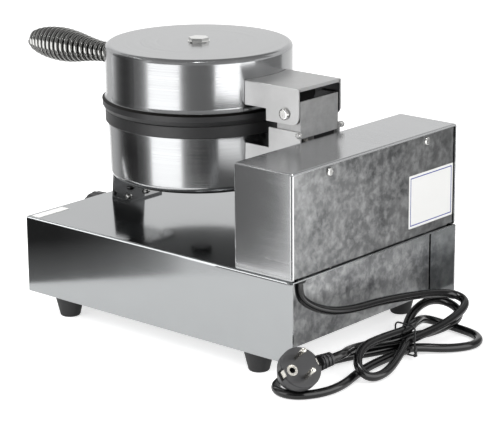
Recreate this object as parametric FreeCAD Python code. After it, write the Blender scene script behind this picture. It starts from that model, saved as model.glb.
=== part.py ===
import FreeCAD, Part
import math
import os

# Waffle cone maker with one pair of round cooking heads on a folded sheet base.
# Millimetres, +Z up. The front, with the handle, looks towards -Y, the hinge is towards +Y.
# The origin lies on the table, under the middle of the machine without its cord.

# Base housing
base_width = 240.0
base_length = 334.0
base_height = 75.0
sheet = 1.2
bend_radius = 2.5
base_flange = 30.0
recess_depth = 28.5
panel_fold = 12.0
fit_gap = 0.3
weld = 0.1

# Feet
foot_height = 20.0
foot_top_r = 14.2
foot_bottom_r = 9.4
foot_side_inset = 15.5
foot_front_inset = 42.0
foot_rear_inset = 52.0
foot_screw_r = 2.0
foot_screw_head_r = 4.0
foot_screw_head_height = 2.6
foot_recess_depth = 9.0
foot_edge_r = 2.0

# Rear box on the base
box_depth = 67.0
box_height = 97.0
box_flange = 10.0
return_width = 2.2
panel_inset = 2.6
panel_screw_r = 1.8
panel_screw_head_r = 3.9
panel_screw_head_height = 2.2
panel_screw_span = 142.0
panel_screw_shift = -4.0
panel_screw_drop = 8.6
small_screw_head_r = 2.0
small_screw_inset = 5.0
small_screw_r = 1.4
small_screw_head_height = 1.5
small_screw_span = 140.0
small_screw_shift = -7.0
panel_tab_width = 14.0
panel_tab_past = 7.0

# Cooking heads
drum_setback = 215.0
drum_lift = 39.0
drum_wall = 1.0
lower_drum_height = 54.0
lower_drum_top_r = 87.0
lower_drum_bottom_r = 85.6
lower_edge_r = 7.0
lower_rim_r = 89.6
lower_rim_height = 11.7
lower_lip = 1.2
plate_gap = 0.3
upper_rim_r = 92.1
upper_rim_height = 9.3
upper_rim_chamfer = 4.2
upper_rim_taper = 2.6
upper_drum_r = 88.8
upper_drum_height = 52.0
upper_edge_r = 4.5
flare_height = 7.0
flare_width = 3.6
flare_hollow = 0.32
spigot_height = 4.0
rim_chamfer = 0.8
grid_r = 80.0
groove_pitch = 12.5
groove_width = 5.0
groove_depth = 1.6

# Heating packs inside the heads
heater_ring_r = 56.0
heater_tube_r = 4.0
heater_open_angle = 36.0
heater_leg = 16.0
clamp_disc_r = 72.0
clamp_disc_thick = 2.0
pad_air_gap = 7.0
bolt_r = 4.0
bolt_head_flats = 17.0
bolt_head_height = 4.0
bolt_reach = 8.0
washer_r = 10.5
washer_thick = 0.9

# Hinge
hinge_half_width = 30.4
hinge_sheet = 1.5
hinge_play = 0.4
pivot_setback = 16.4
pivot_rise = 16.3
upper_top_rise = 25.0
upper_rear_reach = 16.0
upper_step_reach = 22.4
upper_front_drop = 23.2
upper_rear_drop = 34.4
upper_corner_r = 8.0
rear_lip = 3.2
lower_step_reach = 21.0
lower_top_drop = 15.5
lower_front_drop = 34.6
lower_bottom_drop = 58.0
yoke_top_rise = 12.4
yoke_web_drop = 22.0
yoke_foot_drop = 48.0
yoke_rear_reach = 15.2
yoke_front_reach = 12.0
yoke_corner_r = 9.6
ear_r = 2.8
ear_offset = 2.0
ear_rise = 6.0
ear_screw_head_r = 2.6
ear_screw_head_height = 2.0
ear_screw_r = 1.4
pivot_r = 3.0
pivot_clearance = 0.05
pivot_head_r = 5.6
pivot_head_height = 2.6
pivot_nut_flats = 10.0
pivot_nut_height = 5.0
rivet_r = 1.6
rivet_head_r = 2.8
rivet_head_height = 1.2

# Wiring sleeve through the hinge
sleeve_r = 3.0
sleeve_x = 15.0
sleeve_back = 9.2
sleeve_low_drop = 40.0
sleeve_high_rise = 15.0
sleeve_tail = 10.0
sleeve_hole_gap = 0.6

# Front support under the lower head
support_width = 45.0
support_top_width = 38.0
support_sheet = 2.0
support_setback = 98.0
support_foot = 25.0
support_shelf = 46.0
shelf_rivet_span = 19.0
shelf_rivet_inset = 10.0
support_slot_span = 25.0
support_slot_r = 2.6
support_slot_length = 10.0
support_screw_head_r = 3.6
support_screw_head_height = 2.2

# Handle
handle_rise = 25.7
handle_length = 139.6
handle_rod_r = 4.0
ferrule_r = 10.5
ferrule_thick = 4.0
ferrule_neck_r = 5.3
ferrule_neck = 30.0
handle_nut_flats = 13.0
handle_nut_height = 5.5
spring_wire = 4.4
spring_turns = 22
spring_neck_r = 8.0
spring_bulb_r = 15.0
spring_neck_end = 0.22
spring_bulb_at = 0.68
spring_tip_share = 0.93
spring_flat_turns = 0.25
spring_end_gap = 0.4

# Controls on the front panel
knob_height = 27.0
knob_drop = 28.0
knob_skirt_r = 23.2
knob_skirt_height = 5.0
knob_grip_r = 21.8
knob_flute_r = 3.0
knob_flute_depth = 1.0
knob_flutes = 18
knob_gap = 1.0
shaft_r = 3.0
shaft_clearance = 0.05
bush_r = 5.0
bush_rise = 0.6
thermostat_size = 36.0
thermostat_depth = 26.0
case_edge_r = 1.5
switch_x = -68.0
switch_width = 19.0
switch_height = 29.0
switch_bezel = 2.0
switch_depth = 18.0
switch_corner_r = 1.2
rocker_width = 13.0
rocker_height = 23.0
rocker_rise = 3.2
rocker_swing = 16.0
rocker_depth = 6.0
rocker_pin_r = 1.2
rocker_pin_reach = 1.2
rocker_draft = 3.4
lamp_spacing = 24.0
lamp_x = 68.0
lamp_r = 4.8
lamp_flange_r = 7.0
lamp_flange = 1.5
lamp_dome = 4.0
lamp_depth = 14.0

# Wiring block and cord outlet
block_width = 46.0
block_height = 14.0
block_depth = 20.0
block_ways = 4
block_gap = 2.0
block_way_r = 3.4
gland_side_inset = 25.0
gland_inset = 14.0
gland_r = 8.0
gland_flange_r = 9.6
gland_flange = 1.6
gland_drop = 6.0
gland_taper = 1.5
gland_run = 12.0

# Cord, hank, tie and plug
cord_r = 4.0
cord_way = [
    (87.5, 209.6, 66.5), (72, 213, 57.4), (52, 216, 51), (28, 218.5, 48), (0, 220.5, 47),
    (-30, 222, 44), (-58, 223, 40), (-80, 224, 36.4), (-96, 226.8, 33.4), (-105.5, 233, 30.8),
    (-107, 242, 28), (-99.5, 249.3, 25.4), (-84, 253.6, 22.4), (-60, 255, 18.8), (-40, 252.9, 16.4),
]
waist_x = -10.0
waist_y = 246.0
waist_run = 7.0
waist_slots = [(6.0, 15.6), (0.2, 23.8), (4.4, 6.5), (-5.4, 6.5), (-2.5, 15.3)]
loop_neck = 0.40
loop_shoulder = 0.75
loop_tip = 0.52
# Each loop: heading, reach, half width, swell going out, swell coming back, heights of its six corners
hank_loops = [
    (11, 84, 13, 0.8, 0.5, (10.5, 5.0, 5.0, 14.0, 24.5, 25.5)),
    (172, 80, 34, 0.5, 0.75, (20.5, 13.0, 4.1, 4.1, 4.1, 4.6)),
    (-6, 155, 29, 0.25, 0.95, (4.6, 4.1, 4.1, 4.1, 4.1, 4.6)),
    (190, 96, 18, 1.0, 0.35, (19.0, 27.0, 24.0, 17.0, 13.4, 10.0)),
]
plug_way = [(10, 236, 15), (30, 230, 16), (50, 232.5, 19), (68, 241, 24), (82, 249.5, 27.6)]
tie_r = 0.8
tie_gap = 0.8
plug_face = (139, 247, 30)
plug_pins_way = (0.30, 0.72, 0.63)
plug_cord_way = (-0.95, 0.29, 0.12)
plug_r = 18.8
plug_depth = 22.0
plug_back_r = 14.0
plug_shoulder = 9.0
plug_edge_r = 1.2
plug_neck_drop = 9.0
plug_neck_r = 6.4
plug_neck_end_r = 5.2
plug_neck_reach = 36.0
plug_ribs = 5
plug_rib_r = 7.4
plug_rib_taper = 0.3
plug_rib_width = 1.8
plug_rib_pitch = 3.6
plug_pin_r = 2.4
plug_pin_length = 19.0
plug_pin_root = 8.0
plug_pin_spacing = 19.0
plug_earth_offset = 9.0
plug_earth_r = 2.6
plug_earth_depth = 12.0
plug_earth_plate_r = 5.0
plug_clip_width = 6.0
plug_clip_thick = 1.0
plug_clip_depth = 8.0
plug_notch_width = 9.0
plug_notch_depth = 2.6

# Main planes and axes
overall_depth = drum_setback + upper_drum_r + handle_length
rear_y = overall_depth / 2
front_y = rear_y - base_length
base_low = foot_height
base_top = base_low + base_height
half_width = base_width / 2
recess_y = rear_y - recess_depth
box_front_y = rear_y - box_depth
box_top = base_top + box_height
drum_y = rear_y - drum_setback
lower_drum_low = base_top + drum_lift
lower_rim_low = lower_drum_low + lower_drum_height
parting_z = lower_rim_low + lower_rim_height
upper_face_z = parting_z + plate_gap
upper_drum_low = upper_face_z + upper_rim_height
upper_drum_top = upper_drum_low + upper_drum_height
pivot_y = box_front_y - pivot_setback
pivot_z = parting_z + pivot_rise
upper_inner_half = hinge_half_width - hinge_sheet
lower_half = upper_inner_half - hinge_play
yoke_half = lower_half - hinge_sheet
handle_z = upper_drum_low + handle_rise
handle_tip_y = drum_y - upper_drum_r - handle_length
knob_z = base_top - knob_drop
gland_x = half_width - gland_side_inset
ear_y = pivot_y + yoke_rear_reach + fit_gap + hinge_sheet

axis_x = FreeCAD.Vector(1, 0, 0)
axis_y = FreeCAD.Vector(0, 1, 0)
axis_z = FreeCAD.Vector(0, 0, 1)
drum_axis = FreeCAD.Vector(0, drum_y, 0)
# Room left where a cutter runs past a face.
past = 5.0
# Share of the shorter run that an arc of a path takes up.
arc_share = 0.45
# Share of a screw head's height that its round takes up.
head_round = 0.7
# Corner radius of a hexagon that is one unit across its flats.
hexagon_corner = 0.5 / math.cos(math.pi / 6)


def vec(x, y, z):
    """Return a point."""
    return FreeCAD.Vector(x, y, z)


def save(name, shape):
    """Write one sub-part."""
    shape.exportStep(os.path.join("parts", name + ".step"))


def block(x, y, z):
    """Return a box from three (low, high) pairs."""
    return Part.makeBox(x[1] - x[0], y[1] - y[0], z[1] - z[0], vec(x[0], y[0], z[0]))


def joined(shapes):
    """Return one solid made of several that touch or overlap."""
    result = shapes[0].fuse(shapes[1:])
    return result.removeSplitter()


def lathe(points, centre=vec(0, 0, 0)):
    """Return the solid turned about a vertical axis from (radius, height) points."""
    corners = [vec(r, 0, z) for r, z in points]
    face = Part.Face(Part.makePolygon(corners + corners[:1]))
    solid = face.revolve(vec(0, 0, 0), axis_z, 360)
    solid.translate(centre)
    return solid


def ring_edges(shape, height, radius):
    """Return the full circles of one radius at one height."""
    found = []
    for edge in shape.Edges:
        curve = edge.Curve
        if isinstance(curve, Part.Circle) and abs(curve.Radius - radius) < 1e-4:
            if abs(curve.Center.z - height) < 1e-4:
                found.append(edge)
    return found


def straight_edges(shape, along, test):
    """Return the straight edges along one axis whose middle passes a test."""
    found = []
    for edge in shape.Edges:
        if isinstance(edge.Curve, Part.Line):
            way = edge.Curve.Direction
            middle = edge.CenterOfMass
            if abs(abs(way.dot(along)) - 1) < 1e-6 and test(middle):
                found.append(edge)
    return found


def hexagon(flats, height, centre, axis):
    """Return a hexagonal prism standing on a point along an axis."""
    corner_r = flats * hexagon_corner
    corners = []
    for step in range(6):
        angle = math.radians(60 * step)
        corners.append(vec(corner_r * math.cos(angle), corner_r * math.sin(angle), 0))
    face = Part.Face(Part.makePolygon(corners + corners[:1]))
    prism = face.extrude(vec(0, 0, height))
    prism.Placement = FreeCAD.Placement(centre, FreeCAD.Rotation(axis_z, axis))
    return prism


def pan_head(head_r, head_height, shank_r, shank_length, seat, axis):
    """Return a round-headed screw whose head sits on a point and faces along an axis."""
    head = Part.makeCylinder(head_r, head_height)
    rims = ring_edges(head, head_height, head_r)
    head = head.makeFillet(head_height * head_round, rims)
    shank = Part.makeCylinder(shank_r, shank_length, vec(0, 0, -shank_length))
    screw = joined([head, shank])
    screw.Placement = FreeCAD.Placement(seat, FreeCAD.Rotation(axis_z, axis))
    return screw


def prism_x(points, x_low, x_high):
    """Return a solid of an outline in (y, z) between two x values."""
    corners = [vec(x_low, y, z) for y, z in points]
    face = Part.Face(Part.makePolygon(corners + corners[:1]))
    return face.extrude(vec(x_high - x_low, 0, 0))


def biarc(start, start_way, end, end_way):
    """Return two arcs that join two points with given unit directions."""
    chord = end - start
    both = start_way + end_way
    bend = 2 * (1 - start_way.dot(end_way))
    lean = chord.dot(both)
    if bend < 1e-9:
        return [Part.LineSegment(start, end).toShape()]
    reach = (-lean + math.sqrt(lean * lean + bend * chord.dot(chord))) / bend
    first = start + start_way * reach
    second = end - end_way * reach
    meet = (first + second) * 0.5
    return [corner_arc(start, first, meet), corner_arc(meet, second, end)]


def corner_arc(start, corner, end):
    """Return the arc between two points that are tangent to lines through a corner."""
    middle = (start + end) * 0.5
    half = (end - start).Length / 2
    out = corner - middle
    if out.Length < 1e-7:
        return Part.LineSegment(start, end).toShape()
    rise = half * math.tan(math.atan2(out.Length, half) / 2)
    return Part.Arc(start, middle + out * (rise / out.Length), end).toShape()


def rounded_path(points, label):
    """Return the edges of straight runs joined by the largest fair arcs, and print the radii."""
    edges = []
    radii = []
    here = points[0]
    for index in range(1, len(points) - 1):
        corner = points[index]
        before = corner - points[index - 1]
        after = points[index + 1] - corner
        cut = arc_share * min(before.Length, after.Length)
        entry = corner - before * (cut / before.Length)
        leave = corner + after * (cut / after.Length)
        edges.append(Part.LineSegment(here, entry).toShape())
        edges.append(corner_arc(entry, corner, leave))
        turn = before.getAngle(after)
        radii.append(cut / math.tan(turn / 2))
        here = leave
    edges.append(Part.LineSegment(here, points[-1]).toShape())
    print(label, "radii", [round(radius, 1) for radius in radii])
    return edges


def tube(edges, radius, label):
    """Return a round tube along edges, and print how its volume compares with its length."""
    path = Part.Wire(edges)
    first = edges[0]
    start = first.valueAt(first.FirstParameter)
    way = first.tangentAt(first.FirstParameter)
    ring = Part.Wire(Part.Circle(start, way, radius).toShape())
    shell = Part.BRepOffsetAPI.MakePipeShell(path)
    shell.add(ring, False, False)
    shell.build()
    shell.makeSolid()
    solid = Part.Solid(Part.Shell(shell.shape().Faces))
    ideal = math.pi * radius * radius * path.Length
    print(label, "length", round(path.Length, 1), "volume share", round(solid.Volume / ideal, 4))
    return solid


def least_gap(edges, radius, label):
    """Print the least gap between turns of one tube, measured on points along it."""
    points = []
    places = []
    travelled = 0.0
    for edge in edges:
        count = max(3, int(edge.Length / 1.5))
        for point in edge.discretize(count)[:-1]:
            points.append(point)
            places.append(travelled + (point - edge.valueAt(edge.FirstParameter)).Length)
        travelled += edge.Length
    least = None
    for index, point in enumerate(points):
        for other in range(index + 1, len(points)):
            if places[other] - places[index] > 8 * radius:
                gap = (points[other] - point).Length - 2 * radius
                if least is None or gap < least:
                    least = gap
    print(label, "least gap to itself", round(least, 2))


def folded_box(x, y, z, radius):
    """Return a box with its top and upright edges rounded."""
    solid = block(x, y, z)
    uprights = straight_edges(solid, axis_z, lambda middle: True)
    top_x = straight_edges(solid, axis_x, lambda middle: middle.z > z[1] - 1e-4)
    top_y = straight_edges(solid, axis_y, lambda middle: middle.z > z[1] - 1e-4)
    return solid.makeFillet(radius, uprights + top_x + top_y)


# Base housing
def base_shell():
    """Return the folded top, front and side walls with their bottom flanges."""
    run_out = rear_y + 2 * bend_radius + past
    outer = folded_box((-half_width, half_width), (front_y, run_out), (base_low, base_top), bend_radius)
    inner = folded_box(
        (-half_width + sheet, half_width - sheet),
        (front_y + sheet, run_out + past + bend_radius),
        (base_low - past, base_top - sheet),
        bend_radius - sheet,
    )
    shell = outer.cut(inner)
    beyond = block((-base_width, base_width), (rear_y, run_out + base_width), (0, 2 * base_top))
    shell = shell.cut(beyond)
    low = (base_low, base_low + sheet)
    side = half_width - sheet + weld
    edge = half_width - base_flange
    long_run = (front_y + bend_radius, recess_y - sheet)
    flanges = [
        block((edge, side), long_run, low),
        block((-side, -edge), long_run, low),
        block((-edge, edge), (front_y + sheet - weld, front_y + base_flange), low),
    ]
    shell = joined([shell] + flanges)
    cutters = [
        Part.makeCylinder(bush_r + fit_gap, 2 * past, vec(0, front_y - past, knob_z), axis_y),
        switch_opening(),
        Part.makeCylinder(gland_r + fit_gap, 2 * past, vec(gland_x, gland_y(), base_top - past), axis_z),
        wire_passage(),
    ]
    for side_z in lamp_heights():
        place = vec(lamp_x, front_y - past, side_z)
        cutters.append(Part.makeCylinder(lamp_r + fit_gap, 2 * past, place, axis_y))
    for place in foot_places():
        cutters.append(Part.makeCylinder(foot_screw_r + fit_gap, past, place - axis_z, axis_z))
    for slot_x in support_slots():
        middle = vec(slot_x, support_y() + support_foot / 2, base_top - past)
        cutters.append(Part.makeCylinder(panel_screw_r, 2 * past, middle, axis_z))
    for place in small_screw_places():
        cutters.append(Part.makeCylinder(small_screw_r, 2 * past, place - axis_z * past, axis_z))
    return shell.cut(cutters)


def wire_passage():
    """Return the cutter of the hole where wires climb from the base into the rear box."""
    middle_y = (box_front_y + recess_y) / 2
    return Part.makeCylinder(block_depth / 2, 2 * past, vec(0, middle_y, base_top - past), axis_z)


def foot_places():
    """Return the four foot centres on the underside of the base."""
    reach = half_width - foot_side_inset
    rows = (front_y + foot_front_inset, rear_y - foot_rear_inset)
    return [vec(x, y, base_low) for x in (-reach, reach) for y in rows]


def base_floor():
    """Return the bottom plate that lies on the flanges."""
    low = base_low + sheet
    side = half_width - sheet - fit_gap
    plate = block((-side, side), (front_y + bend_radius + fit_gap, recess_y - sheet), (low, low + sheet))
    holes = []
    for place in foot_places():
        holes.append(Part.makeCylinder(foot_screw_r + fit_gap, 2 * past, place, axis_z))
    return plate.cut(holes)


def base_rear_panel():
    """Return the set-back rear wall with its fold under the top."""
    side = half_width - bend_radius
    high = base_top - sheet
    wall = block((-side, side), (recess_y - sheet, recess_y), (base_low, high))
    fold = block((-side, side), (recess_y - panel_fold, recess_y), (high - sheet, high))
    panel = joined([wall, fold])
    bend = straight_edges(panel, axis_x, lambda m: m.z > high - 1e-4 and m.y > recess_y - 1e-4)
    return panel.makeFillet(sheet - weld, bend)


def rubber_foot(place):
    """Return one tapered foot with a hollow for its screw."""
    foot = lathe([(0, 0), (foot_bottom_r, 0), (foot_top_r, foot_height), (0, foot_height)])
    foot = foot.makeFillet(foot_edge_r, ring_edges(foot, 0, foot_bottom_r))
    hollow = Part.makeCylinder(foot_screw_head_r + fit_gap, foot_recess_depth)
    hole = Part.makeCylinder(foot_screw_r, foot_height)
    foot = foot.cut([hollow, hole])
    foot.translate(vec(place.x, place.y, 0))
    return foot


def foot_screw(place):
    """Return one screw that holds a foot from below."""
    seat = vec(place.x, place.y, foot_recess_depth)
    length = foot_height - foot_recess_depth + 4 * sheet
    down = vec(0, 0, -1)
    return pan_head(foot_screw_head_r, foot_screw_head_height, foot_screw_r, length, seat, down)


# Rear box
def rear_box_cover():
    """Return the box over the wiring, open at the back, with folded-in edges."""
    x = (-half_width, half_width)
    y = (box_front_y, rear_y)
    z = (base_top, box_top)
    outer = block(x, y, z)
    outer = outer.makeFillet(bend_radius, outer.Edges)
    inner = block(
        (x[0] + sheet, x[1] - sheet), (y[0] + sheet, y[1] - sheet), (z[0] + sheet, z[1] - sheet)
    )
    inner = inner.makeFillet(bend_radius - sheet, inner.Edges)
    back = block(
        (x[0] + return_width, x[1] - return_width),
        (y[1] - bend_radius - past, y[1] + past),
        (z[0] - past, z[1] - return_width),
    )
    under = block(
        (x[0] + box_flange, x[1] - box_flange),
        (y[0] + box_flange, y[1] + past),
        (z[0] - past, z[0] + bend_radius + past),
    )
    sleeve = Part.makeCylinder(sleeve_r + sleeve_hole_gap, 3 * past, sleeve_entry() - axis_y * past, axis_y)
    cover = outer.cut([inner, back, under, sleeve])
    tabs = []
    holes = []
    for place in panel_screw_places():
        tabs.append(panel_tab(place, place.z - panel_tab_past, box_top - sheet + weld))
        holes.append(Part.makeCylinder(panel_screw_r, 2 * past, place - axis_y * past, axis_y))
    return joined([cover] + tabs).cut(holes)


def panel_tab(place, low, high):
    """Return an upright tab behind the back panel that takes one of its screws."""
    inner = rear_y - panel_inset - sheet
    half = panel_tab_width / 2
    return block((place.x - half, place.x + half), (inner - sheet, inner), (low, high))


def rear_box_back_panel():
    """Return the plate that closes the back of the box, notched over the side flanges and folded in below."""
    side = half_width - return_width - fit_gap
    middle = half_width - box_flange - fit_gap
    depth = (rear_y - panel_inset - sheet, rear_y - panel_inset)
    low = base_top + fit_gap
    high = box_top - return_width - fit_gap
    plate = joined([
        block((-side, side), depth, (low + sheet, high)),
        block((-middle, middle), depth, (low, high)),
        block((-middle, middle), (depth[1] - panel_fold, depth[1]), (low, low + sheet)),
    ])
    bend = straight_edges(plate, axis_x, lambda m: m.z < low + 1e-4 and m.y > depth[1] - 1e-4)
    plate = plate.makeFillet(sheet - weld, bend)
    holes = []
    for place in panel_screw_places():
        holes.append(Part.makeCylinder(panel_screw_r, 2 * past, place - axis_y * past, axis_y))
    for place in small_screw_places():
        holes.append(Part.makeCylinder(small_screw_r, 2 * past, place - axis_z * past, axis_z))
    return plate.cut(holes)


def panel_screw_places():
    """Return the seats of the two upper screws of the back panel."""
    high = box_top - panel_screw_drop
    reach = panel_screw_span / 2
    sides = (panel_screw_shift - reach, panel_screw_shift + reach)
    return [vec(x, rear_y - panel_inset, high) for x in sides]


def small_screw_places():
    """Return the seats of the two small screws that hold the back panel's fold from under the base top."""
    reach = small_screw_span / 2
    sides = (small_screw_shift - reach, small_screw_shift + reach)
    return [vec(x, rear_y - small_screw_inset, base_top - sheet) for x in sides]


def back_panel_screws():
    """Return the screws of the back panel."""
    screws = []
    length = panel_screw_head_height + 2 * sheet
    for seat in panel_screw_places():
        screws.append(
            pan_head(panel_screw_head_r, panel_screw_head_height, panel_screw_r, length, seat, axis_y)
        )
    for seat in small_screw_places():
        screws.append(
            pan_head(small_screw_head_r, small_screw_head_height, small_screw_r, length, seat, -axis_z)
        )
    return Part.makeCompound(screws)


# Cooking heads: both are drawn with the cooking face at height 0 and the depth upwards
def head_placed(shape, upper):
    """Put a piece drawn from the cooking face onto the upper or the lower head."""
    if upper:
        placed = shape.copy()
        placed.translate(vec(0, drum_y, upper_face_z))
        return placed
    placed = shape.copy()
    placed.rotate(vec(0, 0, 0), axis_x, 180)
    placed.translate(vec(0, drum_y, parting_z))
    return placed


def waffle_grooves():
    """Return the crossing V-shaped cutters of the waffle grid, at 45 degrees to the front."""
    cutters = []
    count = int((grid_r - groove_width) / groove_pitch)
    for heading in (45, 135):
        for step in range(-count, count + 1):
            offset = step * groove_pitch
            half = math.sqrt(grid_r * grid_r - offset * offset)
            wedge = [
                vec(-half, offset - groove_width / 2, 0),
                vec(-half, offset + groove_width / 2, 0),
                vec(-half, offset, groove_depth),
            ]
            face = Part.Face(Part.makePolygon(wedge + wedge[:1]))
            cutter = face.extrude(vec(2 * half, 0, 0))
            cutter.rotate(vec(0, 0, 0), axis_z, heading)
            cutters.append(cutter)
    return cutters


def cooking_plate(upper):
    """Return one cast plate with its waffle grid, rim and locating spigot."""
    if upper:
        rim = [(0, 0), (upper_rim_r - upper_rim_taper, 0), (upper_rim_r, upper_rim_chamfer)]
        rim_height = upper_rim_height
        rim.append((upper_rim_r, rim_height))
        spigot_r = upper_drum_r - drum_wall - fit_gap
    else:
        rim = [(0, 0), (lower_rim_r - rim_chamfer, 0), (lower_rim_r, rim_chamfer)]
        rim_height = lower_rim_height
        rim.append((lower_rim_r, rim_height - rim_chamfer))
        rim.append((lower_rim_r - rim_chamfer, rim_height))
        spigot_r = lower_drum_top_r - drum_wall - fit_gap
    rim.append((spigot_r, rim_height))
    rim.append((spigot_r, rim_height + spigot_height))
    rim.append((0, rim_height + spigot_height))
    plate = lathe(rim)
    hole = Part.makeCylinder(bolt_r, bolt_reach, vec(0, 0, plate_back(upper) - bolt_reach))
    return head_placed(plate.cut(waffle_grooves() + [hole]), upper)


def plate_back(upper):
    """Return the depth of a plate's back face."""
    return (upper_rim_height if upper else lower_rim_height) + spigot_height


def head_depth(upper):
    """Return the depth of a drum's outer end."""
    if upper:
        return upper_rim_height + upper_drum_height
    return lower_rim_height + lower_drum_height


def heater(upper):
    """Return a tubular heating ring with its two connection legs."""
    middle = plate_back(upper) + heater_tube_r
    sweep = 360 - heater_open_angle
    ring = Part.makeTorus(heater_ring_r, heater_tube_r, vec(0, 0, 0), axis_z, -180, 180, sweep)
    ring.rotate(vec(0, 0, 0), axis_z, 90 + heater_open_angle / 2)
    pieces = [ring]
    for end in heater_ends():
        pieces.append(Part.makeSphere(heater_tube_r, end))
        pieces.append(Part.makeCylinder(heater_tube_r, heater_leg, end, axis_z))
    solid = joined(pieces)
    solid.translate(vec(0, 0, middle))
    return head_placed(solid, upper)


def heater_ends():
    """Return the two ends of a heating ring about its own middle."""
    ends = []
    for side in (-1, 1):
        angle = math.radians(90 + side * heater_open_angle / 2)
        ends.append(vec(heater_ring_r * math.cos(angle), heater_ring_r * math.sin(angle), 0))
    return ends


def pack_holes(depth):
    """Return cutters for the bolt and the heater legs through a pack layer."""
    holes = [Part.makeCylinder(bolt_r + fit_gap, depth, vec(0, 0, 0))]
    for end in heater_ends():
        holes.append(Part.makeCylinder(heater_tube_r + fit_gap, depth, end))
    return holes


def clamp_disc(upper):
    """Return the steel disc that presses the heating ring onto the plate."""
    low = plate_back(upper) + 2 * heater_tube_r
    disc = Part.makeCylinder(clamp_disc_r, clamp_disc_thick, vec(0, 0, low))
    return head_placed(disc.cut(pack_holes(low + past + clamp_disc_thick)), upper)


def insulation_pad(upper):
    """Return the fibre pad between the clamp disc and the drum's end."""
    low = plate_back(upper) + 2 * heater_tube_r + clamp_disc_thick
    high = head_depth(upper) - drum_wall
    wall_r = upper_drum_r if upper else lower_drum_bottom_r
    pad_r = wall_r - drum_wall - pad_air_gap
    pad = Part.makeCylinder(pad_r, high - low, vec(0, 0, low))
    pad = pad.makeFillet(lower_edge_r / 2, ring_edges(pad, high, pad_r))
    return head_placed(pad.cut(pack_holes(high + past)), upper)


def head_bolt(upper):
    """Return the hexagon bolt and washer that hold one head together."""
    end = head_depth(upper)
    tip = plate_back(upper) - bolt_reach
    washer = Part.makeCylinder(washer_r, washer_thick, vec(0, 0, end))
    head = hexagon(bolt_head_flats, bolt_head_height - washer_thick, vec(0, 0, end + washer_thick), axis_z)
    shank = Part.makeCylinder(bolt_r, end + washer_thick - tip, vec(0, 0, tip))
    return head_placed(joined([washer, head, shank]), upper)


def lower_drum_body(inset):
    """Return the lower drum's outer form, drawn in by an inset."""
    top_r = lower_drum_top_r - inset
    bottom_r = lower_drum_bottom_r - inset
    low = lower_drum_low + inset
    body = lathe([(0, low), (bottom_r, low), (top_r, lower_rim_low), (0, lower_rim_low)], drum_axis)
    return body.makeFillet(lower_edge_r - inset, ring_edges(body, low, bottom_r))


def lower_drum_shell():
    """Return the lower steel cup with its turned-out lip and its holes."""
    lip_r = lower_drum_top_r + lower_lip
    lip = Part.makeCylinder(lip_r, lower_lip, vec(0, drum_y, lower_rim_low - lower_lip))
    inside = lower_drum_body(drum_wall)
    shell = joined([lower_drum_body(0), lip]).cut(inside)
    bolt = Part.makeCylinder(bolt_r + fit_gap, 3 * past, vec(0, drum_y, lower_drum_low - past))
    holes = [bolt]
    for place in shelf_screw_places():
        holes.append(Part.makeCylinder(rivet_r, 3 * past, place - axis_z * past))
    wire = vec(0, drum_y, (lower_drum_low + lower_rim_low) / 2)
    holes.append(Part.makeCylinder(2 * sleeve_r, lower_rim_r, wire, axis_y))
    return shell.cut(holes)


def upper_drum_body(inset):
    """Return the upper drum's outer form with its flared skirt, drawn in by an inset."""
    wall_r = upper_drum_r - inset
    skirt_r = wall_r + flare_width
    low = upper_drum_low
    high = upper_drum_top - inset
    profile = [vec(0, 0, low), vec(skirt_r, 0, low), vec(wall_r, 0, low + flare_height)]
    lean = vec(wall_r + flare_width * flare_hollow, 0, low + flare_height * flare_hollow)
    edges = [
        Part.LineSegment(profile[0], profile[1]).toShape(),
        Part.Arc(profile[1], lean, profile[2]).toShape(),
        Part.LineSegment(profile[2], vec(wall_r, 0, high)).toShape(),
        Part.LineSegment(vec(wall_r, 0, high), vec(0, 0, high)).toShape(),
        Part.LineSegment(vec(0, 0, high), profile[0]).toShape(),
    ]
    body = Part.Face(Part.Wire(edges)).revolve(vec(0, 0, 0), axis_z, 360)
    body.translate(drum_axis)
    return body.makeFillet(upper_edge_r - inset, ring_edges(body, high, wall_r))


def upper_drum_shell():
    """Return the upper steel cup with its holes."""
    inside = upper_drum_body(drum_wall)
    shell = upper_drum_body(0).cut(inside)
    front = vec(0, drum_y - upper_drum_r - past, handle_z)
    wires = vec(sleeve_x, drum_y, sleeve_high())
    holes = [
        Part.makeCylinder(bolt_r + fit_gap, 3 * past, vec(0, drum_y, upper_drum_top - 2 * past)),
        Part.makeCylinder(handle_rod_r + fit_gap, 4 * past, front, axis_y),
        Part.makeCylinder(sleeve_r + sleeve_hole_gap, upper_rim_r, wires, axis_y),
    ]
    return shell.cut(holes)


# Hinge
def channel(outline, half, web):
    """Return two cheeks cut to an outline, joined by a flat web."""
    cheeks = []
    for side in (-1, 1):
        edge = (side * half, side * (half - hinge_sheet))
        cheeks.append(prism_x(outline, min(edge), max(edge)))
    return joined(cheeks + [web])


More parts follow.
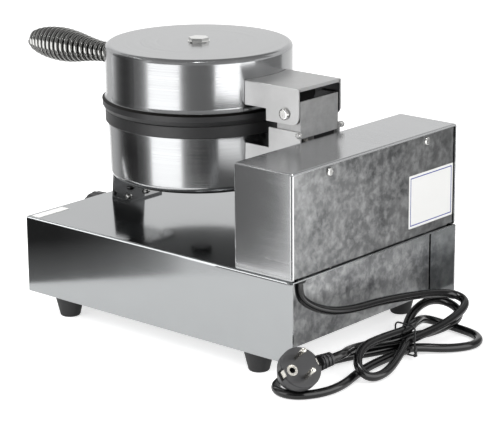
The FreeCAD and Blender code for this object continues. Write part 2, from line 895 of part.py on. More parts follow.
def upper_hinge_bracket():
    """Return the stepped channel that carries the upper head."""
    top = pivot_z + upper_top_rise
    rear = pivot_y + upper_rear_reach
    step = pivot_y - upper_step_reach
    front_low = top - upper_front_drop
    rear_low = top - upper_rear_drop
    outline = [
        (drum_y, front_low), (step, front_low), (step, rear_low),
        (rear, rear_low), (rear, top), (drum_y, top),
    ]
    web = block((-hinge_half_width, hinge_half_width), (drum_y, rear), (top - hinge_sheet, top))
    bracket = channel(outline, hinge_half_width, web)
    lip_x = upper_inner_half - hinge_sheet
    lip = block((-lip_x, lip_x), (rear - hinge_sheet, rear), (top - rear_lip, top - hinge_sheet / 2))
    bracket = joined([bracket, lip])
    corner = straight_edges(bracket, axis_x, lambda m: m.z < rear_low + 1e-4 and m.y > rear - 1e-4)
    bracket = bracket.makeFillet(upper_corner_r, corner)
    bends = straight_edges(
        bracket, axis_y, lambda m: m.z > top - 1e-4 and abs(m.x) > hinge_half_width - 1e-4
    )
    bracket = bracket.makeFillet(hinge_sheet, bends)
    bore_r = pivot_r + pivot_clearance
    bore = Part.makeCylinder(bore_r, 2 * base_width, vec(-base_width, pivot_y, pivot_z), axis_x)
    seat = upper_drum_seat(fit_gap)
    return bracket.cut([bore, seat])


def upper_drum_seat(gap):
    """Return the space that the upper drum takes up behind a bracket."""
    return Part.makeCylinder(upper_drum_r + gap, upper_drum_height, vec(0, drum_y, upper_drum_low))


def lower_hinge_bracket():
    """Return the stepped channel that carries the lower head on the rear box."""
    low = pivot_z - lower_bottom_drop
    high = pivot_z - lower_top_drop
    front_high = pivot_z - lower_front_drop
    step = pivot_y - lower_step_reach
    outline = [
        (drum_y, low), (box_front_y, low), (box_front_y, high),
        (step, high), (step, front_high), (drum_y, front_high),
    ]
    web = block((-lower_half, lower_half), (drum_y, box_front_y), (low, low + hinge_sheet))
    bracket = channel(outline, lower_half, web)
    bends = straight_edges(bracket, axis_y, lambda m: m.z < low + 1e-4 and abs(m.x) > lower_half - 1e-4)
    bracket = bracket.makeFillet(hinge_sheet, bends)
    ears = []
    for place in ear_places():
        ears.append(Part.makeCylinder(ear_r, hinge_sheet, place - axis_y * hinge_sheet, axis_y))
        inner = math.copysign(lower_half - hinge_sheet / 2, place.x)
        span = (min(inner, place.x), max(inner, place.x))
        tab = (place.y - hinge_sheet, place.y)
        ears.append(block(span, tab, (place.z - ear_r, place.z + ear_r)))
    bracket = joined([bracket] + ears)
    seat = lower_drum_body(-fit_gap)
    holes = [seat]
    for place in ear_places():
        holes.append(Part.makeCylinder(ear_screw_r, 2 * past, place - axis_y * past, axis_y))
    return bracket.cut(holes)


def ear_places():
    """Return the centres of the two ears beside the yoke, just above the rear box."""
    reach = lower_half + ear_offset
    return [vec(x, ear_y, box_top + ear_rise) for x in (-reach, reach)]


def ear_screws():
    """Return the two screws in the ears."""
    length = 3 * hinge_sheet
    screws = []
    for seat in ear_places():
        screws.append(
            pan_head(ear_screw_head_r, ear_screw_head_height, ear_screw_r, length, seat, axis_y)
        )
    return Part.makeCompound(screws)


def hinge_yoke():
    """Return the fixed channel with its web to the rear that holds the pivot."""
    rear = pivot_y + yoke_rear_reach
    front = pivot_y - yoke_front_reach
    top = pivot_z + yoke_top_rise
    foot = pivot_z - yoke_foot_drop
    outline = [(front, foot), (rear, foot), (rear, top), (front, top)]
    web_z = (pivot_z - yoke_web_drop, top)
    web = block((-yoke_half, yoke_half), (rear - hinge_sheet, rear), web_z)
    yoke = channel(outline, yoke_half, web)
    corner = straight_edges(yoke, axis_x, lambda m: m.z > top - 1e-4 and m.y < front + 1e-4)
    yoke = yoke.makeFillet(yoke_corner_r, corner)
    bore = Part.makeCylinder(pivot_r, base_width, vec(-half_width, pivot_y, pivot_z), axis_x)
    return yoke.cut(bore)


def pivot_bolt():
    """Return the round-headed pivot through all the cheeks."""
    seat = hinge_half_width + hinge_play
    head = Part.makeCylinder(pivot_head_r, pivot_head_height)
    rims = ring_edges(head, pivot_head_height, pivot_head_r)
    head = head.makeFillet(pivot_head_height * head_round, rims)
    length = 2 * seat + pivot_nut_height
    shank = Part.makeCylinder(pivot_r, length, vec(0, 0, -length))
    bolt = joined([head, shank])
    bolt.Placement = FreeCAD.Placement(vec(seat, pivot_y, pivot_z), FreeCAD.Rotation(axis_z, axis_x))
    return bolt


def pivot_nut():
    """Return the nut on the far end of the pivot."""
    place = vec(-hinge_half_width - hinge_play, pivot_y, pivot_z)
    nut = hexagon(pivot_nut_flats, pivot_nut_height, place, vec(-1, 0, 0))
    return nut.cut(Part.makeCylinder(pivot_r, base_width, vec(-half_width, pivot_y, pivot_z), axis_x))


def sleeve_entry():
    """Return the point where the wiring sleeve leaves the rear box."""
    return vec(sleeve_x, box_front_y, pivot_z - sleeve_low_drop)


def sleeve_high():
    """Return the height of the sleeve's upper run into the upper drum."""
    return pivot_z + sleeve_high_rise


def wire_sleeve():
    """Return the braided sleeve that brings the wires past the pivot to the upper drum."""
    entry = sleeve_entry()
    climb_y = pivot_y + sleeve_back
    drum_wall_y = drum_y + math.sqrt(upper_drum_r ** 2 - sleeve_x ** 2)
    points = [
        entry + axis_y * sleeve_tail,
        vec(sleeve_x, climb_y, entry.z),
        vec(sleeve_x, climb_y, sleeve_high()),
        vec(sleeve_x, drum_wall_y - 2 * drum_wall, sleeve_high()),
    ]
    return tube(rounded_path(points, "sleeve"), sleeve_r, "sleeve")


# Front support
def support_y():
    """Return the front face of the support's upright."""
    return drum_y - support_setback


def support_slots():
    """Return the x places of the two slots in the support's foot."""
    return (-support_slot_span / 2, support_slot_span / 2)


def front_support():
    """Return the folded bracket under the front of the lower head."""
    near = support_y()
    half = support_width / 2
    top_half = support_top_width / 2
    foot = block((-half, half), (near, near + support_foot), (base_top, base_top + support_sheet))
    shelf_z = (lower_drum_low - support_sheet, lower_drum_low)
    shelf = block((-top_half, top_half), (near, near + support_shelf), shelf_z)
    corners = [
        vec(-half, near, base_top), vec(half, near, base_top),
        vec(top_half, near, lower_drum_low), vec(-top_half, near, lower_drum_low),
    ]
    upright = Part.Face(Part.makePolygon(corners + corners[:1])).extrude(vec(0, support_sheet, 0))
    support = joined([foot, shelf, upright])
    cutters = []
    for slot_x in support_slots():
        for end in (-1, 1):
            reach = end * (support_slot_length / 2 - support_slot_r)
            place = vec(slot_x, near + support_foot / 2 + reach, base_top - past)
            cutters.append(Part.makeCylinder(support_slot_r, 2 * past, place))
        reach = support_slot_length / 2 - support_slot_r
        middle = near + support_foot / 2
        across = (slot_x - support_slot_r, slot_x + support_slot_r)
        cutters.append(block(across, (middle - reach, middle + reach), (base_top - past, base_top + past)))
    for place in shelf_screw_places():
        cutters.append(Part.makeCylinder(rivet_r, 2 * past, place - axis_z * past))
    return support.cut(cutters)


def shelf_screw_places():
    """Return the rivet places between the shelf and the drum's underside."""
    place_y = support_y() + support_shelf - shelf_rivet_inset
    reach = shelf_rivet_span / 2
    return [vec(x, place_y, lower_drum_low) for x in (-reach, reach)]


def support_screws():
    """Return the two screws in the support's slots."""
    screws = []
    length = support_sheet + 3 * sheet
    for slot_x in support_slots():
        seat = vec(slot_x, support_y() + support_foot / 2, base_top + support_sheet)
        screws.append(
            pan_head(support_screw_head_r, support_screw_head_height, panel_screw_r, length, seat, axis_z)
        )
    return Part.makeCompound(screws)


def shelf_rivets():
    """Return the rivets that tie the shelf to the lower drum."""
    rivets = []
    length = support_sheet + drum_wall
    for place in shelf_screw_places():
        seat = place - axis_z * support_sheet
        rivets.append(pan_head(rivet_head_r, rivet_head_height, rivet_r, length, seat, vec(0, 0, -1)))
    return Part.makeCompound(rivets)


# Handle
def handle_rod():
    """Return the rod through the handle, with the nut inside the drum."""
    wall_y = drum_y - upper_drum_r
    inner_y = wall_y + drum_wall
    end_y = handle_tip_y + spring_bulb_r
    length = inner_y + handle_nut_height - end_y
    rod = Part.makeCylinder(handle_rod_r, length, vec(0, end_y, handle_z), axis_y)
    return rod


def handle_nut():
    """Return the nut inside the upper drum."""
    corner_r = handle_nut_flats * hexagon_corner
    seat = drum_y - math.sqrt((upper_drum_r - drum_wall) ** 2 - corner_r ** 2)
    nut = hexagon(handle_nut_flats, handle_nut_height, vec(0, seat + fit_gap, handle_z), axis_y)
    start = vec(0, drum_y - base_length, handle_z)
    return nut.cut(Part.makeCylinder(handle_rod_r, base_length, start, axis_y))


def handle_ferrule():
    """Return the turned collar between the drum and the spring."""
    wall_y = drum_y - upper_drum_r
    away = vec(0, -1, 0)
    sag = upper_drum_r - math.sqrt(upper_drum_r ** 2 - ferrule_r ** 2)
    flange = Part.makeCylinder(ferrule_r, ferrule_thick + sag, vec(0, wall_y + sag, handle_z), away)
    neck = Part.makeCylinder(ferrule_neck_r, ferrule_neck, vec(0, wall_y, handle_z), away)
    collar = joined([flange, neck])
    hole = Part.makeCylinder(handle_rod_r, base_length, vec(0, wall_y - base_length / 2, handle_z), axis_y)
    return collar.cut([upper_drum_seat(fit_gap / 2), hole])


def spring_radius(share):
    """Return the coil's mean radius at a share of its turns from the drum to the tip."""
    if share < spring_bulb_at:
        phase = max(0.0, (share - spring_neck_end) / (spring_bulb_at - spring_neck_end))
        return spring_neck_r + (spring_bulb_r - spring_neck_r) * math.sin(phase * math.pi / 2) ** 2
    phase = spring_tip_share * (share - spring_bulb_at) / (1 - spring_bulb_at)
    return spring_bulb_r * math.sqrt(1 - phase * phase)


def spring_travel(turn):
    """Return how far the coil has gone after some turns, in pitches, with both ends run flat."""
    flat = spring_flat_turns
    if turn < flat:
        return turn * turn / (2 * flat)
    left = spring_turns - turn
    if left < flat:
        return spring_turns - flat - left * left / (2 * flat)
    return turn - flat / 2


def spring_point(turn):
    """Return a point on the coil's wire after some turns."""
    start_y = drum_y - upper_drum_r - ferrule_thick - spring_end_gap - spring_wire / 2
    run = start_y - handle_tip_y - spring_wire / 2
    pitch = run / (spring_turns - spring_flat_turns)
    angle = 2 * math.pi * turn
    radius = spring_radius(turn / spring_turns)
    y = start_y - pitch * spring_travel(turn)
    return vec(radius * math.cos(angle), y, handle_z + radius * math.sin(angle))


def spring_way(turn):
    """Return the wire's direction after some turns."""
    step = 1e-4
    low = max(0.0, turn - step)
    high = min(spring_turns, turn + step)
    way = spring_point(high) - spring_point(low)
    if turn in (0, spring_turns):
        way.y = 0
    return way * (1 / way.Length)


def handle_spring():
    """Return the coiled wire grip as one unbroken tube with straight ends."""
    stops = [index / 2 for index in range(2 * spring_turns + 1)]
    first = spring_point(stops[0])
    last = spring_point(stops[-1])
    edges = [Part.LineSegment(first - spring_way(stops[0]) * spring_wire, first).toShape()]
    for low, high in zip(stops[:-1], stops[1:]):
        edges += biarc(spring_point(low), spring_way(low), spring_point(high), spring_way(high))
    edges.append(Part.LineSegment(last, last + spring_way(stops[-1]) * spring_wire).toShape())
    least_gap(edges, spring_wire / 2, "handle spring")
    return tube(edges, spring_wire / 2, "handle spring")


# Controls
def facing_front(place):
    """Return the placement of a piece drawn upwards that points out of the front panel."""
    return FreeCAD.Placement(place, FreeCAD.Rotation(axis_z, -axis_y))


def thermostat_knob():
    """Return the round fluted knob with its skirt."""
    face_y = front_y - knob_gap
    knob = lathe([
        (0, 0), (knob_skirt_r - rim_chamfer, 0), (knob_skirt_r, rim_chamfer),
        (knob_skirt_r, knob_skirt_height - rim_chamfer), (knob_skirt_r - rim_chamfer, knob_skirt_height),
        (knob_grip_r + rim_chamfer, knob_skirt_height), (knob_grip_r, knob_height - rim_chamfer),
        (knob_grip_r - rim_chamfer, knob_height), (0, knob_height),
    ])
    cutters = []
    for step in range(knob_flutes):
        angle = 2 * math.pi * step / knob_flutes
        reach = knob_grip_r + knob_flute_r - knob_flute_depth
        place = vec(reach * math.cos(angle), reach * math.sin(angle), knob_skirt_height + rim_chamfer)
        cutters.append(Part.makeCylinder(knob_flute_r, knob_height, place))
    cutters.append(Part.makeCylinder(shaft_r, knob_height - past))
    knob = knob.cut(cutters)
    knob.Placement = facing_front(vec(0, face_y, knob_z))
    return knob


def thermostat_shaft():
    """Return the shaft that turns with the knob."""
    tip = front_y - knob_gap - (knob_height - past)
    end = front_y + sheet + thermostat_depth / 2
    return Part.makeCylinder(shaft_r, end - tip, vec(0, tip, knob_z), axis_y)


def thermostat_body():
    """Return the regulator behind the front panel with its threaded bush."""
    half = thermostat_size / 2
    behind = front_y + sheet
    case = block((-half, half), (behind, behind + thermostat_depth), (knob_z - half, knob_z + half))
    case = case.makeFillet(case_edge_r, straight_edges(case, axis_y, lambda middle: True))
    bush = Part.makeCylinder(bush_r, sheet + bush_rise, vec(0, front_y - bush_rise, knob_z), axis_y)
    bore = Part.makeCylinder(shaft_r + shaft_clearance, base_length, vec(0, front_y - past, knob_z), axis_y)
    return joined([case, bush]).cut(bore)


def switch_opening():
    """Return the cutter of the switch's hole in the front panel."""
    half_x = switch_width / 2 - switch_bezel + fit_gap
    half_z = switch_height / 2 - switch_bezel + fit_gap
    x = (switch_x - half_x, switch_x + half_x)
    return block(x, (front_y - past, front_y + past), (knob_z - half_z, knob_z + half_z))


def switch_body():
    """Return the switch housing with its bezel and the pocket for the rocker."""
    half_x = switch_width / 2
    half_z = switch_height / 2
    x = (switch_x - half_x, switch_x + half_x)
    bezel = block(x, (front_y - switch_bezel, front_y), (knob_z - half_z, knob_z + half_z))
    bezel = bezel.makeFillet(switch_corner_r, straight_edges(bezel, axis_y, lambda middle: True))
    back_x = half_x - switch_bezel
    back_z = half_z - switch_bezel
    x = (switch_x - back_x, switch_x + back_x)
    depth = (front_y - switch_bezel / 2, front_y + switch_depth)
    case = block(x, depth, (knob_z - back_z, knob_z + back_z))
    room_x = rocker_width / 2 + fit_gap
    room_z = rocker_height / 2 + fit_gap
    x = (switch_x - room_x, switch_x + room_x)
    depth = rocker_depth + rocker_height * math.sin(math.radians(rocker_swing)) / 2
    pocket = block(x, (front_y - past, front_y + depth), (knob_z - room_z, knob_z + room_z))
    pin = Part.makeCylinder(
        rocker_pin_r + shaft_clearance, rocker_width + 2 * switch_bezel,
        vec(switch_x - rocker_width / 2 - switch_bezel, rocker_pivot_y(), knob_z), axis_x,
    )
    return joined([bezel, case]).cut([pocket, pin])


def rocker_pivot_y():
    """Return the depth of the rocker's pin behind the panel."""
    return front_y + rocker_depth / 2


def switch_rocker():
    """Return the rocker with its two small pins, resting in its off position."""
    half = rocker_height / 2 - fit_gap
    root = half - rocker_draft
    pivot = rocker_pivot_y()
    face = front_y - switch_bezel
    outline = [
        (face - rocker_rise, knob_z - half), (face, knob_z), (face - rocker_rise, knob_z + half),
        (pivot, knob_z + root), (pivot + rocker_depth / 2, knob_z), (pivot, knob_z - root),
    ]
    paddle = prism_x(outline, switch_x - rocker_width / 2, switch_x + rocker_width / 2)
    reach = rocker_width / 2 + rocker_pin_reach
    pin = Part.makeCylinder(rocker_pin_r, 2 * reach, vec(switch_x - reach, pivot, knob_z), axis_x)
    rocker = joined([paddle, pin])
    rocker.rotate(vec(switch_x, pivot, knob_z), axis_x, rocker_swing / 2)
    return rocker


def lamp_heights():
    """Return the heights of the two pilot lamps."""
    return (knob_z + lamp_spacing / 2, knob_z - lamp_spacing / 2)


def pilot_lamp(height):
    """Return one pilot lamp: domed lens, flange and body behind the panel."""
    profile = [
        (0, -lamp_depth - lamp_flange), (lamp_r, -lamp_depth - lamp_flange), (lamp_r, 0),
        (lamp_flange_r, 0), (lamp_flange_r, lamp_flange), (lamp_r, lamp_flange),
        (lamp_r, lamp_flange + lamp_dome / 2), (lamp_r / 2, lamp_flange + lamp_dome),
        (0, lamp_flange + lamp_dome),
    ]
    lamp = lathe(profile)
    lamp.Placement = facing_front(vec(lamp_x, front_y, height))
    return lamp


# Wiring block and cord outlet
def gland_y():
    """Return the depth of the cord outlet."""
    return rear_y - gland_inset


def gland_low():
    """Return the height of the outlet's lower face, where the cord starts."""
    return base_top - sheet - gland_drop


def terminal_block():
    """Return the row of terminals inside the rear box, behind the wire passage."""
    front = (box_front_y + recess_y) / 2 + block_depth / 2 + block_gap
    half = block_width / 2
    body = block((-half, half), (front, front + block_depth), (base_top, base_top + block_height))
    cutters = []
    pitch = block_width / block_ways
    first = pitch / 2 - half
    for step in range(block_ways):
        x = first + pitch * step
        place = vec(x, front + block_depth / 2, base_top + block_height / 2)
        cutters.append(Part.makeCylinder(block_way_r, block_height, place))
    return body.cut(cutters)


def cable_gland():
    """Return the moulded outlet bush under the rear edge of the base."""
    under = base_top - sheet
    return lathe([
        (0, gland_low()), (gland_r - gland_taper, gland_low()), (gland_r, under - gland_flange),
        (gland_flange_r, under - gland_flange), (gland_flange_r, under), (gland_r, under),
        (gland_r, base_top), (0, base_top),
    ], vec(gland_x, gland_y(), 0))


# Cord, hank and tie
def waist_slot(index):
    """Return the place of one strand where the tie draws the hank together."""
    across, height = waist_slots[index]
    return vec(waist_x, waist_y + across, height)


def power_cord():
    """Return the free stretch of the cord, from its outlet to the waist of the hank."""
    start = vec(gland_x, gland_y(), gland_low())
    end = waist_slot(0)
    points = [start, start - axis_z * gland_run]
    points += [vec(*point) for point in cord_way]
    points += [end - axis_x * waist_run, end]
    return tube(rounded_path(points, "power cord"), cord_r, "power cord")


def loop_points(heading, reach, half, swell_out, swell_back, heights):
    """Return the corners of one drop-shaped loop that leaves the waist and comes back to it."""
    angle = math.radians(heading)
    along = vec(math.cos(angle), math.sin(angle), 0) * reach
    aside = vec(math.sin(angle), -math.cos(angle), 0) * half
    corners = [
        (loop_neck, -swell_out), (loop_shoulder, -1), (1, -loop_tip),
        (1, loop_tip), (loop_shoulder, 1), (loop_neck, swell_back),
    ]
    points = []
    for (out, side), height in zip(corners, heights):
        points.append(vec(waist_x, waist_y, height) + along * out + aside * side)
    return points


def cord_hank():
    """Return the tied loops and the end that runs to the plug, as one unbroken tube."""
    points = [waist_slot(0), waist_slot(0) + axis_x * waist_run]
    for index, loop in enumerate(hank_loops):
        points += loop_points(*loop)
        slot = waist_slot(index + 1)
        onward = axis_x * (waist_run if index % 2 else -waist_run)
        points += [slot - onward, slot + onward]
    points += [vec(*point) for point in plug_way]
    end = plug_placement().multVec(vec(plug_neck_reach, 0, -plug_neck_drop))
    way = plug_placement().Rotation.multVec(axis_x)
    points += [end + way * (2 * cord_r), end]
    edges = rounded_path(points, "cord hank")
    least_gap(edges, cord_r, "cord hank")
    return tube(edges, cord_r, "cord hank")


def cord_tie():
    """Return the wire tie round the waist of the hank."""
    reach = cord_r + tie_gap + tie_r
    ys = [waist_y + across for across, height in waist_slots]
    zs = [height for across, height in waist_slots]
    y = (min(ys) - reach, max(ys) + reach)
    z = (min(zs) - reach, max(zs) + reach)
    outline = Part.makePolygon([
        vec(waist_x, y[0], z[0]), vec(waist_x, y[1], z[0]), vec(waist_x, y[1], z[1]),
        vec(waist_x, y[0], z[1]), vec(waist_x, y[0], z[0]),
    ])
    prism = Part.Face(outline).extrude(axis_x)
    prism = prism.makeFillet(reach, straight_edges(prism, axis_x, lambda middle: True))
    path = [face for face in prism.Faces if abs(face.CenterOfMass.x - waist_x) < 1e-6][0].OuterWire
    return tube(path.OrderedEdges, tie_r, "cord tie")


# Plug, drawn with its face on z = 0, its pins towards +Z and its cord towards +X
def plug_placement():
    """Return where the plug lies beside the machine."""
    pins = vec(*plug_pins_way).normalize()
    cord = vec(*plug_cord_way)
    cord = (cord - pins * cord.dot(pins)).normalize()
    turn = FreeCAD.Rotation(cord, pins.cross(cord), pins, "ZXY")
    return FreeCAD.Placement(vec(*plug_face), turn)


def plug_placed(shape):
    """Put a piece of the plug where the plug lies."""
    placed = shape.copy()
    placed.Placement = plug_placement().multiply(placed.Placement)
    return placed


def pin_places():
    """Return the roots of the two pins on the plug's face."""
    return [vec(0, side * plug_pin_spacing / 2, -plug_pin_root) for side in (-1, 1)]


def plug_pin(root):
    """Return one round pin with a rounded tip."""
    length = plug_pin_root + plug_pin_length
    pin = Part.makeCylinder(plug_pin_r, length)
    pin = pin.makeFillet(plug_pin_r * head_round, ring_edges(pin, length, plug_pin_r))
    pin.translate(root)
    return pin


def earth_contacts():
    """Return the two side contacts and the plate round the earth hole."""
    pieces = []
    for side in (-1, 1):
        reach = side * (plug_r - plug_notch_depth)
        x = (min(reach, reach + side * plug_clip_thick), max(reach, reach + side * plug_clip_thick))
        half = plug_clip_width / 2
        pieces.append(block(x, (-half, half), (-plug_clip_depth, 0)))
    place = vec(-plug_earth_offset, 0, -plug_clip_thick)
    plate = Part.makeCylinder(plug_earth_plate_r, plug_clip_thick, place)
    hole = Part.makeCylinder(plug_earth_r, plug_clip_thick, place)
    pieces.append(plate.cut(hole))
    return pieces


def plug_body():
    """Return the moulded side-entry plug with its guide notches and ribbed cord neck."""
    body = lathe([
        (0, -plug_depth), (plug_back_r, -plug_depth), (plug_r, -plug_shoulder), (plug_r, 0), (0, 0),
    ])
    rims = ring_edges(body, 0, plug_r) + ring_edges(body, -plug_depth, plug_back_r)
    body = body.makeFillet(plug_edge_r, rims)
    neck_start = plug_back_r / 2
    root = vec(neck_start, 0, -plug_neck_drop)
    pieces = [body, Part.makeCone(plug_neck_r, plug_neck_end_r, plug_neck_reach - neck_start, root, axis_x)]
    for step in range(plug_ribs):
        x = plug_r + plug_rib_pitch * (step + 0.5) - plug_rib_width
        rib_r = plug_rib_r - plug_rib_taper * step
        pieces.append(Part.makeCylinder(rib_r, plug_rib_width, vec(x, 0, -plug_neck_drop), axis_x))
    earth = vec(-plug_earth_offset, 0, -plug_earth_depth)
    cutters = [Part.makeCylinder(plug_earth_r, plug_earth_depth, earth)]
    for side in (-1, 1):
        reach = side * (plug_r - plug_notch_depth)
        far = side * (plug_r + past)
        half = plug_notch_width / 2
        cutters.append(block((min(reach, far), max(reach, far)), (-half, half), (-plug_clip_depth, past)))
    cutters += [plug_pin(root) for root in pin_places()]
    cutters += earth_contacts()
    return joined(pieces).cut(cutters)


os.makedirs("parts", exist_ok=True)

save("base_shell", base_shell())
save("base_floor", base_floor())
save("base_rear_panel", base_rear_panel())
save("rubber_feet", Part.makeCompound([rubber_foot(place) for place in foot_places()]))
save("foot_screws", Part.makeCompound([foot_screw(place) for place in foot_places()]))
save("rear_box_cover", rear_box_cover())
save("rear_box_back_panel", rear_box_back_panel())
save("back_panel_screws", back_panel_screws())
for head, is_upper in (("lower", False), ("upper", True)):
    save(head + "_plate", cooking_plate(is_upper))
    save(head + "_heater", heater(is_upper))
    save(head + "_clamp_disc", clamp_disc(is_upper))
    save(head + "_insulation", insulation_pad(is_upper))
    save(head + "_bolt", head_bolt(is_upper))
save("lower_drum_shell", lower_drum_shell())
save("upper_drum_shell", upper_drum_shell())
save("upper_hinge_bracket", upper_hinge_bracket())
save("lower_hinge_bracket", lower_hinge_bracket())
save("ear_screws", ear_screws())
save("hinge_yoke", hinge_yoke())
save("pivot_bolt", pivot_bolt())
save("pivot_nut", pivot_nut())
save("wire_sleeve", wire_sleeve())
save("front_support", front_support())
save("support_screws", support_screws())
save("shelf_rivets", shelf_rivets())
save("handle_rod", handle_rod())
save("handle_nut", handle_nut())
save("handle_ferrule", handle_ferrule())
save("handle_spring", handle_spring())
save("thermostat_knob", thermostat_knob())
save("thermostat_shaft", thermostat_shaft())
save("thermostat_body", thermostat_body())
save("switch_body", switch_body())
save("switch_rocker", switch_rocker())
save("heating_lamp", pilot_lamp(lamp_heights()[0]))
save("power_lamp", pilot_lamp(lamp_heights()[1]))
save("terminal_block", terminal_block())
save("cable_gland", cable_gland())
save("power_cord", power_cord())
save("cord_hank", cord_hank())
save("cord_tie", cord_tie())
save("plug_body", plug_placed(plug_body()))
save("plug_pins", plug_placed(Part.makeCompound([plug_pin(root) for root in pin_places()])))
save("plug_earth_contacts", plug_placed(Part.makeCompound(earth_contacts())))
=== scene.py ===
import logging
import math
from dataclasses import dataclass, replace
from enum import Enum
from typing import Sequence

import bmesh
import bpy
from bpy.types import Curve, Material, Mesh, Node, Object
from bpy.types import NodeSocket as Socket
from bpy.types import NodeTree as Tree
from mathutils import Matrix, Vector


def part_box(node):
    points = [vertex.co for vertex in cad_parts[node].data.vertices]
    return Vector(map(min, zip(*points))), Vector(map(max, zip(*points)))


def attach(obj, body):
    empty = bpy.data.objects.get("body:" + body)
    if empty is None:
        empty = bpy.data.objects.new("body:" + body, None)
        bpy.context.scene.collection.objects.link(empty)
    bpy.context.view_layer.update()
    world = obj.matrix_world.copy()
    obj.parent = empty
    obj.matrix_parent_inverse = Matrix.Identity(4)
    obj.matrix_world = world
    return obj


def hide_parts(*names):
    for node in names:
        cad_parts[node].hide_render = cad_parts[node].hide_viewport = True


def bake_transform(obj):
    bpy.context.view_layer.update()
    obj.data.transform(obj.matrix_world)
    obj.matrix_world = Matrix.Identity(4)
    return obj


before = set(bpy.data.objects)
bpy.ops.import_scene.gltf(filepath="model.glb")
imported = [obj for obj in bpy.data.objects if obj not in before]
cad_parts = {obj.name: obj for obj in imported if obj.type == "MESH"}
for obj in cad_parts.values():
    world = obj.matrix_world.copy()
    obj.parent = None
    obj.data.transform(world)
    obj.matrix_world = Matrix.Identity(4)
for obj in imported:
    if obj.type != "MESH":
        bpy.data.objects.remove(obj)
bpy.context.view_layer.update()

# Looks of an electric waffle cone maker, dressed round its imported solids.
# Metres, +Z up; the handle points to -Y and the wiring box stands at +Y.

MM = 0.001
# Corners closer than this are one corner, in millimetres.
WELD = 0.0001
WHITE = (1.0, 1.0, 1.0, 1.0)
# Most of a noise lies between these.
NOISE_SPAN = (0.3, 0.7)
log = logging.getLogger("cone_maker")

Span = tuple[float, float]
Point = tuple[float, float, float]
Shape = bmesh.types.BMesh


class Body(str, Enum):
    """The moving groups of the machine."""

    BASE = "base"
    LID = "lid"
    KNOB = "knob"
    ROCKER = "rocker"


class Facing(Enum):
    """The side that a flat piece looks to, as the axes that its width and height run along."""

    UP = ((1, 0, 0), (0, 1, 0))
    FRONT = ((1, 0, 0), (0, 0, 1))
    REAR = ((-1, 0, 0), (0, 0, 1))
    RIGHT = ((0, 1, 0), (0, 0, 1))

    def placed(self, place: Point, turn: float = 0.0) -> Matrix:
        """Return the matrix that lays a flat drawing on this side.

        Args:
            place: where the drawing's origin goes, in metres.
            turn: how far the drawing is turned on its own face, in radians.

        Returns:
            The matrix from the drawing to the machine.
        """
        across, up = (Vector(axis) for axis in self.value)
        out = across.cross(up)
        columns = Matrix((across, up, out)).transposed().to_4x4()
        return Matrix.Translation(place) @ columns @ Matrix.Rotation(turn, 4, "Z")


def linear(code: str) -> tuple[float, float, float, float]:
    """Turn an sRGB hex colour into linear red, green, blue and alpha.

    Args:
        code: six hex digits after a hash.

    Returns:
        The linear colour, opaque.
    """
    parts = [int(code[at:at + 2], 16) / 255 for at in (1, 3, 5)]
    parts = [p / 12.92 if p <= 0.04045 else ((p + 0.055) / 1.055) ** 2.4 for p in parts]
    return (*parts, 1.0)


def fill(tree: Tree, node: Node, inputs: dict) -> None:
    """Set or link a node's inputs.

    Args:
        tree: the node tree that the node is in.
        node: the node.
        inputs: values or sockets for its inputs, by name or index.
    """
    for key, value in inputs.items():
        if isinstance(value, Socket):
            tree.links.new(value, node.inputs[key])
        else:
            node.inputs[key].default_value = value


def add_node(tree: Tree, kind: str, inputs: dict | None = None, **settings) -> Node:
    """Add a node, set its options, and fill or link its inputs.

    Args:
        tree: the node tree that gets the node.
        kind: the node's type name.
        inputs: values or sockets for its inputs, by name or index.
        settings: values for the node's own options.

    Returns:
        The new node.
    """
    node = tree.nodes.new(kind)
    for option, value in settings.items():
        setattr(node, option, value)
    fill(tree, node, inputs or {})
    return node


def maths(tree: Tree, operation: str, *values: float | Socket, clamp: bool = False) -> Socket:
    """Return the outcome of a maths node on numbers or sockets, from 0 to 1 where it is clamped."""
    node = add_node(tree, "ShaderNodeMath", dict(enumerate(values)), operation=operation, use_clamp=clamp)
    return node.outputs[0]


def vectors(tree: Tree, operation: str, *values: Point | Socket) -> Socket:
    """Return the outcome of a vector maths node, as maths does for numbers."""
    node = add_node(tree, "ShaderNodeVectorMath", dict(enumerate(values)), operation=operation)
    return node.outputs["Value" if operation in ("LENGTH", "DOT_PRODUCT") else "Vector"]


def ranged(tree: Tree, value: Socket, start: Span, end: tuple[float | Socket, ...], **settings) -> Socket:
    """Return a value carried from one range over to another, and held at its ends."""
    node = add_node(tree, "ShaderNodeMapRange", {
        "Value": value, "From Min": start[0], "From Max": start[1], "To Min": end[0], "To Max": end[1]}, **settings)
    return node.outputs["Result"]


def noise(tree: Tree, spot: Socket, detail: float, rough: float, distortion: float = 0.0) -> Socket:
    """Return a noise with one patch to a unit of its coordinates, most of it within NOISE_SPAN."""
    node = add_node(tree, "ShaderNodeTexNoise", {
        "Vector": spot, "Scale": 1.0, "Detail": detail, "Roughness": rough, "Distortion": distortion})
    return node.outputs["Fac"]


def mixed(tree: Tree, share: Socket, first: str | Socket, second: str | Socket) -> Socket:
    """Return a mix of two colours, hex codes or sockets, by the share of the second."""
    first, second = (linear(colour) if isinstance(colour, str) else colour for colour in (first, second))
    return add_node(tree, "ShaderNodeMix", {0: share, 6: first, 7: second}, data_type="RGBA").outputs[2]


